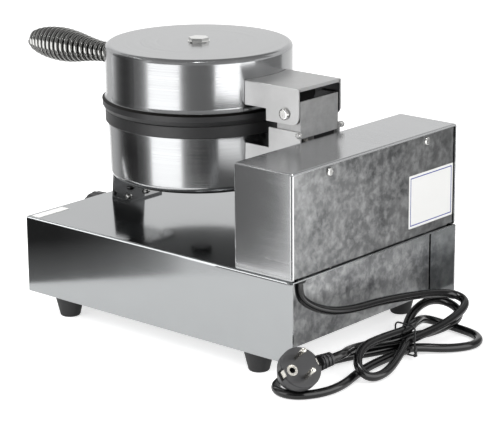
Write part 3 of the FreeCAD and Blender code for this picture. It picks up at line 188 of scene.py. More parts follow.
@dataclass(frozen=True)
class Finish:
    """A surface: its colour, the colour that its pattern turns to, metal or not, and how smooth and even it is."""

    name: str
    colour: str
    second: str
    metallic: float = 0.0
    roughness: float = 0.5
    spread: float = 0.05
    coat: float = 0.0

    def material(self) -> Material:
        """Return this finish's material, made when it is first asked for."""
        found = bpy.data.materials.get(self.name)
        if found is not None:
            return found
        made = bpy.data.materials.new(self.name)
        made.use_nodes = True
        tree = made.node_tree
        fill(tree, tree.nodes["Principled BSDF"], {
            "Base Color": linear(self.colour), "Metallic": self.metallic, "Roughness": self.roughness,
            "Coat Weight": self.coat})
        fill(tree, tree.nodes["Principled BSDF"], self.pattern(tree))
        return made

    def pattern(self, tree: Tree) -> dict[str, Socket]:
        """Return what the finish's pattern links to its shader's inputs: nothing on a plain one."""
        return {}

    def place(self, tree: Tree, scale: Point, centre: Point = (0, 0, 0)) -> Socket:
        """Return object coordinates moved to a centre in metres and scaled, in counts per metre."""
        spot = add_node(tree, "ShaderNodeTexCoord").outputs["Object"]
        return vectors(tree, "MULTIPLY", vectors(tree, "SUBTRACT", spot, centre), scale)

    def shine(self, tree: Tree, grain: Socket) -> Socket:
        """Return a roughness that is uneven with a noise."""
        return ranged(tree, grain, NOISE_SPAN, (self.roughness - self.spread, self.roughness + self.spread))

    def relief(self, tree: Tree, height: Socket, depth: float, **inputs: Socket) -> Socket:
        """Return the normals of a relief, from its height between 0 and 1 and its depth in millimetres."""
        values = {"Height": height, "Strength": 1.0, "Distance": depth * MM, **inputs}
        return add_node(tree, "ShaderNodeBump", values).outputs["Normal"]


@dataclass(frozen=True)
class RolledSheet(Finish):
    """Rolled and linished stainless sheet: fine lines one way, faint clouds of handling over them."""

    metallic: float = 1.0
    lines: Point = (900.0, 12.0, 900.0)
    line_depth: float = 0.008
    clouds: float = 16.0
    edge: float = 0.5

    def pattern(self, tree: Tree) -> dict[str, Socket]:
        """Return the rolling lines, the clouds and the uneven shine, with softened edges."""
        lines = noise(tree, self.place(tree, self.lines), detail=4.0, rough=0.6)
        clouds = noise(tree, self.place(tree, (self.clouds,) * 3), detail=5.0, rough=0.62)
        mean = maths(tree, "MULTIPLY", maths(tree, "ADD", lines, clouds), 0.5)
        edge = add_node(tree, "ShaderNodeBevel", {"Radius": self.edge * MM}, samples=4)
        return {
            "Base Color": mixed(tree, clouds, self.colour, self.second),
            "Roughness": self.shine(tree, mean),
            "Normal": self.relief(tree, lines, self.line_depth, Normal=edge.outputs[0])}


@dataclass(frozen=True)
class ChannelSheet(RolledSheet):
    """Tumbled sheet bent to a channel, darkened inside with painted shade."""

    inside: Point = (0.0, 0.0, 0.0)
    # Colour of the painted shade inside the channel.
    soot_colour: str = "#555556"

    def pattern(self, tree: Tree) -> dict[str, Socket]:
        """Return the sheet's pattern, with painted shade inside the channel's half width, depth and height."""
        links = super().pattern(tree)
        spot = add_node(tree, "ShaderNodeSeparateXYZ", {0: self.place(tree, (1 / MM,) * 3)}).outputs
        parts = (maths(tree, "ABSOLUTE", spot[0]), spot[1], spot[2])
        across, along, up = (maths(tree, "LESS_THAN", part, limit) for part, limit in zip(parts, self.inside))
        share = maths(tree, "MULTIPLY", maths(tree, "MULTIPLY", across, along), up)
        return {**links, "Base Color": mixed(tree, share, links["Base Color"], self.soot_colour)}


@dataclass(frozen=True)
class SpunSteel(Finish):
    """Stainless brushed on a lathe: rings round the axis on the wall, circles on the crown."""

    metallic: float = 1.0
    axis_y: float = 6.7
    ring_spacing: float = 1.1
    ring_depth: float = 0.006
    ring_waver: float = 9.0
    # The dark band: fully there under the first height, gone over the second, and thinned inside a radius. On the fixed
    # drum it is painted shade on the rounded lower edge and underside; on the lid's drum it paints the flared lip black
    # like the plate's rim.
    soil: Span = (-2.0, -1.0)
    soil_colour: str = "#1B1A19"
    soil_roughness: float = 0.55
    soil_inside: float = 0.0
    soil_blend: float = 3.0
    soil_thinned: float = 0.25

    def pattern(self, tree: Tree) -> dict[str, Socket]:
        """Return the brush rings in colour, shine and relief, with the dark band over them."""
        # The brush lines are a tenth of a millimetre apart; drawn about ten times as coarse to show.
        count = 1 / (self.ring_spacing * MM)
        centred = self.place(tree, (1, 1, 1), (0, self.axis_y * MM, 0))
        spot = add_node(tree, "ShaderNodeSeparateXYZ", {0: centred}).outputs
        flat = add_node(tree, "ShaderNodeCombineXYZ", {0: spot[0], 1: spot[1]}).outputs[0]
        radius = vectors(tree, "LENGTH", flat)
        ring = add_node(tree, "ShaderNodeCombineXYZ", {0: radius, 1: spot[2]}).outputs[0]
        drawn = vectors(tree, "MULTIPLY", ring, (count,) * 3)
        waver = vectors(tree, "MULTIPLY", flat, (self.ring_waver,) * 3)
        rings = noise(tree, vectors(tree, "ADD", drawn, waver), detail=4.0, rough=0.65)
        heights = tuple(height * MM for height in self.soil)
        radii = ((self.soil_inside - self.soil_blend) * MM, self.soil_inside * MM)
        # The dark band's colour is painted shade under the fixed drum and black paint on the lid's lip.
        above = ranged(tree, spot[2], heights, (0.0, 1.0), interpolation_type="SMOOTHSTEP")
        bare_share = maths(tree, "MAXIMUM", above, ranged(tree, radius, radii, (self.soil_thinned, 0.0)))
        brushed = mixed(tree, rings, self.colour, self.second)
        return {
            "Base Color": mixed(tree, bare_share, self.soil_colour, brushed),
            "Roughness": ranged(tree, bare_share, (0.0, 1.0), (self.soil_roughness, self.shine(tree, rings))),
            "Normal": self.relief(tree, rings, self.ring_depth)}


@dataclass(frozen=True)
class ZincSheet(Finish):
    """Hot-dip zinc-coated sheet: cloudy patches with bright smears, half dull and half bright."""

    metallic: float = 1.0
    spread: float = 0.08
    patch: float = 30.0
    patch_span: Span = (0.32, 0.70)
    patch_share: float = 0.6
    smear: float = 7.0
    smear_span: Span = (0.42, 0.78)
    smear_share: float = 0.75
    origin: Point = (0.0, 0.0, 0.0)

    def pattern(self, tree: Tree) -> dict[str, Socket]:
        """Return the patches and the smears."""
        wide, fine = ((1 / (size * MM),) * 3 for size in (self.patch, self.smear))
        patches = noise(tree, self.place(tree, wide, self.origin), detail=3.0, rough=0.55, distortion=0.4)
        smears = noise(tree, self.place(tree, fine, self.origin), detail=4.0, rough=0.62, distortion=0.2)
        clouds = ranged(tree, patches, self.patch_span, (0.0, self.patch_share))
        spots = ranged(tree, smears, self.smear_span, (0.0, self.smear_share))
        bright = maths(tree, "ADD", spots, clouds, clamp=True)
        return {
            "Base Color": mixed(tree, bright, self.colour, self.second),
            "Roughness": self.shine(tree, smears)}


@dataclass(frozen=True)
class Grained(Finish):
    """A moulded, cast or coated surface: a fine even grain with a little drift in its colour and shine."""

    spread: float = 0.06
    grain: float = 0.8
    depth: float = 0.03
    drift_grains: float = 14.0

    def pattern(self, tree: Tree) -> dict[str, Socket]:
        """Return the grain and the drift, which is some grains wide."""
        count = 1 / (self.grain * MM)
        grain = noise(tree, self.place(tree, (count,) * 3), detail=3.0, rough=0.55)
        drift = noise(tree, self.place(tree, (count / self.drift_grains,) * 3), detail=3.0, rough=0.5)
        return {
            "Base Color": mixed(tree, drift, self.colour, self.second),
            "Roughness": self.shine(tree, grain),
            "Normal": self.relief(tree, grain, self.depth)}


@dataclass(frozen=True)
class Braid(Finish):
    """Braided glass fibre: two sets of yarns that cross along the sleeve."""

    yarn: float = 1.3
    depth: float = 0.25

    def pattern(self, tree: Tree) -> dict[str, Socket]:
        """Return the two sets of yarns as crossed waves."""
        count = 0.5 / (self.yarn * MM)
        yarns = [
            add_node(tree, "ShaderNodeTexWave", {
                "Vector": self.place(tree, (count, count * slope, count)), "Scale": 1.0, "Distortion": 0.3,
                "Detail": 1.0}, bands_direction="DIAGONAL").outputs["Fac"]
            for slope in (1.0, -1.0)]
        weave = maths(tree, "MAXIMUM", *yarns)
        return {
            "Base Color": mixed(tree, weave, self.second, self.colour),
            "Normal": self.relief(tree, weave, self.depth)}


# Polished 304 sheet: a clear but slightly soft mirror.
POLISHED_SHEET = RolledSheet("stainless_polished", "#9EA0A1", "#A6A8A9", roughness=0.11, spread=0.035, line_depth=0.003)
# The same sheet on the support, as a darker copy.
DARKER_SHEET = replace(POLISHED_SHEET, name="stainless_darker", colour="#7A7B7C", second="#808182")
# Satin 304 sheet with its film just peeled off: a wide, even sheen.
SATIN_SHEET = RolledSheet("stainless_satin", "#ADAEAF", "#B3B4B5", roughness=0.24, line_depth=0.006)
# Thick hinge plate, tumbled after cutting: pale and dull.
HINGE_PLATE = ChannelSheet(
    "stainless_tumbled", "#B4B4B4", "#CACACA", roughness=0.42, lines=(300.0, 300.0, 300.0), clouds=60.0)
# The lid's and the yoke's channels get painted shade inside them.
LID_CHANNEL = replace(HINGE_PLATE, name="stainless_tumbled_lid", inside=(28.95, 153.9, 236.5))
YOKE_CHANNEL = replace(
    HINGE_PLATE, name="stainless_tumbled_yoke", colour="#919191", second="#BEBEBE", clouds=130.0,
    inside=(25.6, 150.0, 240.0))
# Lathe-spun drums, brushed on wall and crown: the lid's has its flared lip painted black like the plate's rim, and the
# fixed one has painted shade on its lower edge and underside.
LID_DRUM = SpunSteel("stainless_spun_dark_lip", "#AAABAC", "#9C9D9E", roughness=0.17, soil=(211.0, 212.2))
FIXED_DRUM = SpunSteel(
    "stainless_spun_shaded_under", "#AAABAC", "#9C9D9E", roughness=0.17, soil=(134.6, 138.4), soil_inside=79.0)
# Zinc-coated sheet of the back, and the brighter piece of it in the base's recess.
ZINC_PANEL = ZincSheet("zinc_coated_sheet", "#58595A", "#979898", roughness=0.46, origin=(0.31, 0.0, 0.12))
ZINC_RETURN = ZincSheet("zinc_coated_return", "#77787A", "#C2C3C3", roughness=0.46)
# Nickel-plated steel of screws, nuts and fittings: bright, with dark mirrors.
PLATED_STEEL = Grained(
    "nickel_plated_steel", "#D2D2D0", "#C6C6C4", metallic=1.0, roughness=0.27, grain=1.6, depth=0.002, spread=0.05)
# Drawn wire of the handle, plated; its colour is darkened as painted shade, standing in for the dark surroundings that
# it mirrors.
WIRE_STEEL = replace(PLATED_STEEL, name="drawn_wire_steel", colour="#8E8E8C", roughness=0.10, second="#848482")
# The bolts that show, in a brighter copy of the plated steel: painted light, so that their heads read as lit.
BOLT_STEEL = replace(
    WIRE_STEEL, name="bright_plated_steel", colour="#E2E2E0", roughness=0.15, depth=0.0005, second="#DADAD8")
# Near-black steel of the hidden rod and bolt: painted shade, for the gaps inside the coil and the underside of the
# drum.
SHADE_STEEL = Grained("shade_painted_steel", "#262627", "#1E1E1F", metallic=1.0, roughness=0.42, grain=1.0, depth=0.01)
# Cast aluminium with a black non-stick coat: satin, a little grainy.
COATED_CASTING = Grained("coated_casting", "#1F1F20", "#29292A", roughness=0.44, grain=0.9, depth=0.02)
# Oxidised sheath of the heating rods: dull brownish grey.
HEATER_SHEATH = Grained("heater_sheath", "#6B655F", "#4E4A47", metallic=1.0, roughness=0.48, grain=1.2)
# Pressed mineral wool: chalky and fibrous.
MINERAL_WOOL = Grained("mineral_wool", "#E3DFD3", "#CFC9BA", roughness=0.95, grain=1.5, depth=0.4)
# Natural rubber of the feet: dull black.
FOOT_RUBBER = Grained("moulded_rubber", "#1B1B1C", "#262627", roughness=0.62, grain=0.9)
# Moulded phenolic of knob, gland and inner housings: black, half gloss.
MOULDED_BLACK = Grained("moulded_phenolic", "#19191A", "#222223", roughness=0.38, grain=0.7, depth=0.015)
# Polished nylon of the rocker.
ROCKER_NYLON = Grained("rocker_nylon", "#151516", "#1B1B1C", roughness=0.2, grain=0.6, depth=0.004)
# Tinted polycarbonate lenses.
AMBER_LENS = Grained("amber_lens", "#D9650F", "#F08A24", roughness=0.12, grain=2.0, depth=0.2, coat=0.6)
GREEN_LENS = replace(AMBER_LENS, name="green_lens", colour="#1C8A3A", second="#35B056")
# Glazed steatite of the terminal block.
STEATITE = Grained("glazed_steatite", "#E8E5DA", "#DAD6C8", roughness=0.25, grain=1.4, depth=0.01)
# Soft vinyl of cord and plug: black, the cord slicker.
CORD_VINYL = Grained("cord_vinyl", "#060607", "#0A0A0B", roughness=0.17, grain=1.1, depth=0.004, spread=0.04)
PLUG_VINYL = Grained("plug_vinyl", "#202022", "#2A2A2C", roughness=0.42)
# Nickel-plated brass of the plug's contacts.
CONTACT_BRASS = Grained("nickelled_brass", "#DAD8D2", "#C8C5BC", metallic=1.0, roughness=0.2, grain=1.0, depth=0.004)
# Glass-fibre sleeve over the wires, greyed by heat, and a near-black board inside the lid's channel, a sheet of painted
# shade for the dark hinge slot.
GLASS_BRAID = Braid("glass_braid", "#8F8D88", "#3E3D3B", roughness=0.8)
SHADE_BOARD = Grained("shade_painted_board", "#101011", "#171718", roughness=0.75, grain=1.0)
# Coated label paper and its printed line.
LABEL_PAPER = Grained("label_paper", "#FCFCFA", "#F6F6F4", roughness=0.4, grain=2.5, depth=0.004)
LABEL_BLUE = Grained("label_blue", "#26379E", "#37489F", roughness=0.42, grain=2.5, depth=0.002)
# White marking ink.
MARKING_INK = Grained("marking_ink", "#E9E9E6", "#DCDCD8", roughness=0.5, grain=1.0, depth=0.003)


def dress(finish: Finish, *nodes: str) -> None:
    """Give CAD nodes a finish.

    Args:
        finish: the finish that they get.
        nodes: the names of the nodes.
    """
    for name in nodes:
        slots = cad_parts[name].data.materials
        slots.clear()
        slots.append(finish.material())
        log.info("dressed %s in %s", name, finish.name)


def put(name: str, data: bpy.types.ID) -> Object:
    """Return a new object of the scene, at the origin, that shows some data."""
    made = bpy.data.objects.new(name, data)
    bpy.context.scene.collection.objects.link(made)
    return made


def piece(name: str, mesh: Mesh, body: Body, slot: str, *finishes: Finish) -> Object:
    """Put a finished mesh in the scene as a piece that rides on a body.

    Args:
        name: the piece's name.
        mesh: its mesh, in the machine's frame.
        body: the body that it rides on.
        slot: the record's material slot; not used.
        finishes: one finish for each material index of the mesh.

    Returns:
        The new object.
    """
    made = put(name, mesh)
    for finish in finishes:
        mesh.materials.append(finish.material())
    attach(made, body.value)
    log.info("made %s, %d faces", name, len(mesh.polygons))
    return made


def laid(name: str, shape: Shape, place: Matrix, body: Body, slot: str, *finishes: Finish) -> None:
    """Lay a flat working shape in its place and make it a piece.

    Args:
        name: the piece's name.
        shape: the working shape, which is freed.
        place: where it goes.
        body: the body that it rides on.
        slot: the record's material slot, passed on to piece.
        finishes: one finish for each material index of the shape.
    """
    bmesh.ops.transform(shape, matrix=place, verts=shape.verts)
    bmesh.ops.remove_doubles(shape, verts=shape.verts, dist=WELD * MM)
    bmesh.ops.recalc_face_normals(shape, faces=shape.faces)
    for face in shape.faces:
        face.smooth = False
    mesh = bpy.data.meshes.new(name)
    shape.to_mesh(mesh)
    shape.free()
    piece(name, mesh, body, slot, *finishes)


def plate(across: Span, up: Span, thick: float, corner: float) -> Shape:
    """Return a thin plate with round corners round the origin, its face up.

    Args:
        across: where it starts and ends along its width, in millimetres.
        up: the same along its height.
        thick: its thickness.
        corner: the radius of its corners.

    Returns:
        The plate as a working shape.
    """
    shape = bmesh.new()
    bmesh.ops.create_grid(shape, x_segments=1, y_segments=1, size=0.5)
    wide, high = ((span[1] - span[0]) * MM for span in (across, up))
    bmesh.ops.scale(shape, vec=(wide, high, 1), verts=shape.verts)
    bmesh.ops.bevel(
        shape, geom=shape.verts[:], offset=corner * MM, affect="VERTICES", segments=4, profile=0.5, material=-1)
    bmesh.ops.translate(shape, vec=(0, 0, thick * MM), verts=shape.verts)
    bmesh.ops.solidify(shape, geom=shape.faces[:], thickness=thick * MM)
    return shape


def middle(span: Span) -> float:
    """Return the middle of a span of millimetres, in metres."""
    return sum(span) / 2 * MM


def line_curve(name: str, points: Sequence[Point], radius: float) -> Curve:
    """Return a smooth round line through the pull of its points.

    Args:
        name: the curve's name.
        points: its control points, in millimetres.
        radius: the line's radius, in millimetres.

    Returns:
        The curve.
    """
    curve = bpy.data.curves.new(name, "CURVE")
    curve.dimensions = "3D"
    curve.bevel_depth = radius * MM
    curve.bevel_resolution = 5
    curve.resolution_u = 8
    curve.use_fill_caps = True
    spline = curve.splines.new("NURBS")
    spline.points.add(len(points) - 1)
    for control, point in zip(spline.points, points):
        control.co = (*(value * MM for value in point), 1.0)
    spline.order_u = 3
    spline.use_endpoint_u = True
    spline.use_smooth = True
    return curve


def curve_mesh(curve: Curve) -> Mesh:
    """Return a curve as a mesh, and remove the curve."""
    holder = bpy.data.objects.new(curve.name, curve)
    mesh = bpy.data.meshes.new_from_object(holder)
    bpy.data.objects.remove(holder)
    bpy.data.curves.remove(curve)
    return mesh


@dataclass
class Housing:
    """The folded base, the wiring box on it, the support and the stickers."""

    label_x: Span = (-117.2, -49.2)
    label_z: Span = (104.4, 154.6)
    label_thick: float = 0.2
    ink_top: float = 0.22
    ink_thick: float = 0.04
    label_corner: float = 1.0
    label_margin: float = 2.2
    label_line: float = 0.9
    tag_x: Span = (76.6, 116.8)
    tag_y: Span = (-106.6, -96.4)

    def build(self) -> None:
        """Make the two bare stickers."""
        label, tag = (
            plate(*spans, self.label_thick, self.label_corner)
            for spans in ((self.label_x, self.label_z), (self.tag_x, self.tag_y)))
        self.print_line(label)
        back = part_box("rear_box_back_panel")[1].y
        place = Facing.REAR.placed((middle(self.label_x), back, middle(self.label_z)))
        laid("rear_label", label, place, Body.BASE, "terminal_white", LABEL_PAPER, LABEL_BLUE)
        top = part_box("base_shell")[1].z
        place = Facing.UP.placed((middle(self.tag_x), middle(self.tag_y), top))
        laid("base_tag", tag, place, Body.BASE, "terminal_white", LABEL_PAPER)

    def print_line(self, shape: Shape) -> None:
        """Print the line round the rear sticker, as the shape's second material.

        Args:
            shape: the sticker as a working shape.
        """
        paper = set(shape.faces)
        wide, high = (span[1] - span[0] for span in (self.label_x, self.label_z))
        outer, inner = (
            [shape.verts.new((x * (wide / 2 - inset) * MM, y * (high / 2 - inset) * MM, self.ink_top * MM))
             for x, y in ((1, 1), (-1, 1), (-1, -1), (1, -1))]
            for inset in (self.label_margin, self.label_margin + self.label_line))
        ink = [shape.faces.new((outer[i], outer[i - 3], inner[i - 3], inner[i])) for i in range(4)]
        bmesh.ops.solidify(shape, geom=ink, thickness=self.ink_thick * MM)
        for face in set(shape.faces) - paper:
            face.material_index = 1

    def dress(self) -> None:
        """Give the sheet, feet and fasteners their finishes."""
        dress(POLISHED_SHEET, "base_shell")
        dress(DARKER_SHEET, "front_support")
        dress(SATIN_SHEET, "rear_box_cover", "base_floor")
        dress(ZINC_PANEL, "rear_box_back_panel")
        dress(ZINC_RETURN, "base_rear_panel")
        dress(FOOT_RUBBER, "rubber_feet")
        dress(PLATED_STEEL, "foot_screws", "back_panel_screws", "support_screws", "shelf_rivets")
        dress(MOULDED_BLACK, "cable_gland")
        dress(STEATITE, "terminal_block")


@dataclass
class Heads:
    """The two drums with their plates and what heats them."""

    def dress(self) -> None:
        """Give both heads their finishes."""
        dress(LID_DRUM, "upper_drum_shell")
        dress(FIXED_DRUM, "lower_drum_shell")
        for side in ("lower", "upper"):
            dress(COATED_CASTING, f"{side}_plate")
            dress(HEATER_SHEATH, f"{side}_heater")
            dress(SATIN_SHEET, f"{side}_clamp_disc")
            dress(MINERAL_WOOL, f"{side}_insulation")
        dress(BOLT_STEEL, "upper_bolt")
        # The bolt under the fixed drum is painted near black as shade.
        dress(SHADE_STEEL, "lower_bolt")


@dataclass
class Hinge:
    """The nested hinge channels and the wiring sleeve that passes the pivot."""

    sleeve_radius: float = 3.0
    sleeve_route: tuple[Point, ...] = (
        (15.0, 164.7, 176.0), (15.0, 147.5, 176.0), (15.0, 147.5, 231.0), (15.0, 90.8, 231.0))
    sleeve_exit: Point = (15.0, 154.7, 176.0)
    sleeve_length: float = 105.0
    bend_from: Point = (15.0, 147.5, 190.0)
    bend_to: Point = (15.0, 132.0, 231.0)
    # The board of painted shade in the hinge slot: its span along Y and Z, its place on X, its thickness and corner.
    guard_y: Span = (99.5, 125.0)
    guard_z: Span = (203.5, 239.0)
    guard_x: float = -28.9
    guard_thick: float = 0.6
    guard_corner: float = 2.0

    def build(self) -> None:
        """Make the braided sleeve and the board beside it."""
        self.guard()
        bare = curve_mesh(line_curve("sleeve_line", self.sleeve_route, 0.0))
        bpy.data.meshes.remove(bare)
        mesh = curve_mesh(line_curve("hinge_sleeve", self.sleeve_route, self.sleeve_radius))
        sleeve = put("hinge_sleeve", mesh)
        mesh.materials.append(GLASS_BRAID.material())
        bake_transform(sleeve)
        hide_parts("wire_sleeve")
        log.info("made hinge_sleeve, %d faces", len(mesh.polygons))

    def guard(self) -> None:
        """Make the near-black board inside the far cheek of the lid's channel, a sheet of painted shade that darkens
        the hinge slot.
        """
        shape = plate(self.guard_y, self.guard_z, self.guard_thick, self.guard_corner)
        place = Facing.RIGHT.placed((self.guard_x * MM, middle(self.guard_y), middle(self.guard_z)))
        laid("slot_shade_board", shape, place, Body.LID, "black_plastic", SHADE_BOARD)

    def dress(self) -> None:
        """Give the channels and their fasteners their finishes."""
        dress(HINGE_PLATE, "lower_hinge_bracket")
        dress(LID_CHANNEL, "upper_hinge_bracket")
        dress(YOKE_CHANNEL, "hinge_yoke")
        dress(PLATED_STEEL, "ear_screws", "pivot_nut")
        dress(BOLT_STEEL, "pivot_bolt")


@dataclass
class Handle:
    """The coiled wire grip on its rod."""

    wire: float = 4.4
    turns: int = 22
    steps: int = 20
    neck_radius: float = 8.0
    bulb_radius: float = 15.0
    neck_end: float = 0.22
    bulb_at: float = 0.68
    tip_share: float = 0.93
    flat_turns: float = 0.25
    start_y: float = -88.7
    tip_y: float = -221.7
    height: float = 235.0

    def radius(self, share: float) -> float:
        """Return the coil's mean radius at a share of its turns from the drum to the tip."""
        if share < self.bulb_at:
            phase = max(0.0, (share - self.neck_end) / (self.bulb_at - self.neck_end))
            swell = math.sin(phase * math.pi / 2) ** 2
            return self.neck_radius + (self.bulb_radius - self.neck_radius) * swell
        phase = self.tip_share * (share - self.bulb_at) / (1 - self.bulb_at)
        return self.bulb_radius * math.sqrt(1 - phase * phase)

    def travel(self, turn: float) -> float:
        """Return how far the coil has gone after some turns, in pitches, with both ends run flat."""
        if turn < self.flat_turns:
            return turn * turn / (2 * self.flat_turns)
        left = self.turns - turn
        if left < self.flat_turns:
            return self.turns - self.flat_turns - left * left / (2 * self.flat_turns)
        return turn - self.flat_turns / 2

    def point(self, turn: float) -> Point:
        """Return a point on the wire after some turns, in millimetres."""
        pitch = (self.start_y - self.tip_y - self.wire / 2) / (self.turns - self.flat_turns)
        radius = self.radius(turn / self.turns)
        angle = 2 * math.pi * turn
        y = self.start_y - pitch * self.travel(turn)
        return (radius * math.cos(angle), y, self.height + radius * math.sin(angle))

    def build(self) -> None:
        """Make the coil as one wire."""
        route = [self.point(step / self.steps) for step in range(self.turns * self.steps + 1)]
        mesh = curve_mesh(line_curve("handle_coil", route, self.wire / 2))
        coil = piece("handle_coil", mesh, Body.LID, "chrome", WIRE_STEEL)
        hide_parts("handle_spring")

    def dress(self) -> None:
        """Give the rod and its fittings their finish."""
        # The rod is painted near black as the shade in the coil's gaps.
        dress(SHADE_STEEL, "handle_rod")
        dress(PLATED_STEEL, "handle_nut", "handle_ferrule")


@dataclass
class Controls:
    """The thermostat knob with its scale, the rocker switch and the two lamps."""

    knob_centre: Span = (0.0, 67.0)
    number_radius: float = 16.6
    number_size: float = 4.2
    numbers: tuple[int, ...] = (50, 100, 150, 200, 250, 300)
    number_spread: float = 270.0
    index_size: float = 1.8
    index_gap: float = 0.4
    skirt_radius: float = 23.2
    dial_face: float = 28.0
    index_depth: float = 0.1
    ink_half: float = 0.05
    rocker_pivot: Point = (-68.0, -109.3, 67.0)
    rocker_rest: float = 8.0
    facet_tilt: float = 15.95
    facet_out: float = 6.62
    facet_up: float = 5.6
    mark_size: float = 5.6

    def build(self) -> None:
        """Make the numbers on the knob's face, the index over it and the rocker's marks."""
        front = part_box("base_shell")[0].y
        centre = Vector((self.knob_centre[0] * MM, front, self.knob_centre[1] * MM))
        numbers, index, marks = bmesh.new(), bmesh.new(), bmesh.new()
        for at, number in enumerate(self.numbers):
            share = at / (len(self.numbers) - 1)
            angle = math.radians(self.number_spread * (0.5 - share))
            arm = Vector((-math.sin(angle), 0, math.cos(angle))) * self.number_radius * MM
            spot = centre + arm - Vector((0, self.dial_face * MM, 0))
            self.mark(numbers, str(number), self.number_size, Facing.FRONT.placed(tuple(spot), angle))
        laid("dial_numbers", numbers, Matrix(), Body.KNOB, "terminal_white", MARKING_INK)
        bmesh.ops.create_circle(index, cap_ends=True, radius=self.index_size / math.sqrt(3) * MM, segments=3)
        bmesh.ops.solidify(index, geom=index.faces[:], thickness=self.index_depth * MM)
        spot = centre + Vector((0, 0, (self.skirt_radius + self.index_gap + self.index_size / 2) * MM))
        turned = Facing.FRONT.placed(tuple(spot), math.pi)
        laid("dial_index", index, turned, Body.BASE, "rubber", MOULDED_BLACK)
        rest = Matrix.Rotation(math.radians(self.rocker_rest), 3, "X")
        for words, side in (("I", 1), ("O", -1)):
            spot = Vector(self.rocker_pivot) + rest @ Vector((0, -self.facet_out, side * self.facet_up))
            tilt = Matrix.Rotation(math.radians(self.rocker_rest + side * self.facet_tilt), 4, "X")
            self.mark(marks, words, self.mark_size, Facing.FRONT.placed(tuple(spot * MM)) @ tilt)
        laid("rocker_marks", marks, Matrix(), Body.ROCKER, "terminal_white", MARKING_INK)

    def mark(self, shape: Shape, words: str, size: float, place: Matrix) -> None:
        """Add flat lettering to a working shape.

        Args:
            shape: the shape that gets it.
            words: the letters.
            size: the size of the type, in millimetres.
            place: where the middle of the lettering goes.
        """
        curve = bpy.data.curves.new("marking", "FONT")
        curve.body = words
        curve.size = size * MM
        curve.align_x = "CENTER"
        curve.align_y = "CENTER"
        curve.extrude = self.ink_half * MM
        mesh = curve_mesh(curve)
        mesh.transform(place)
        shape.from_mesh(mesh)
        bpy.data.meshes.remove(mesh)

    def dress(self) -> None:
        """Give the controls their finishes."""
        dress(MOULDED_BLACK, "thermostat_knob", "thermostat_body", "switch_body")
        dress(ROCKER_NYLON, "switch_rocker")
        dress(PLATED_STEEL, "thermostat_shaft")
        dress(AMBER_LENS, "heating_lamp")
        dress(GREEN_LENS, "power_lamp")


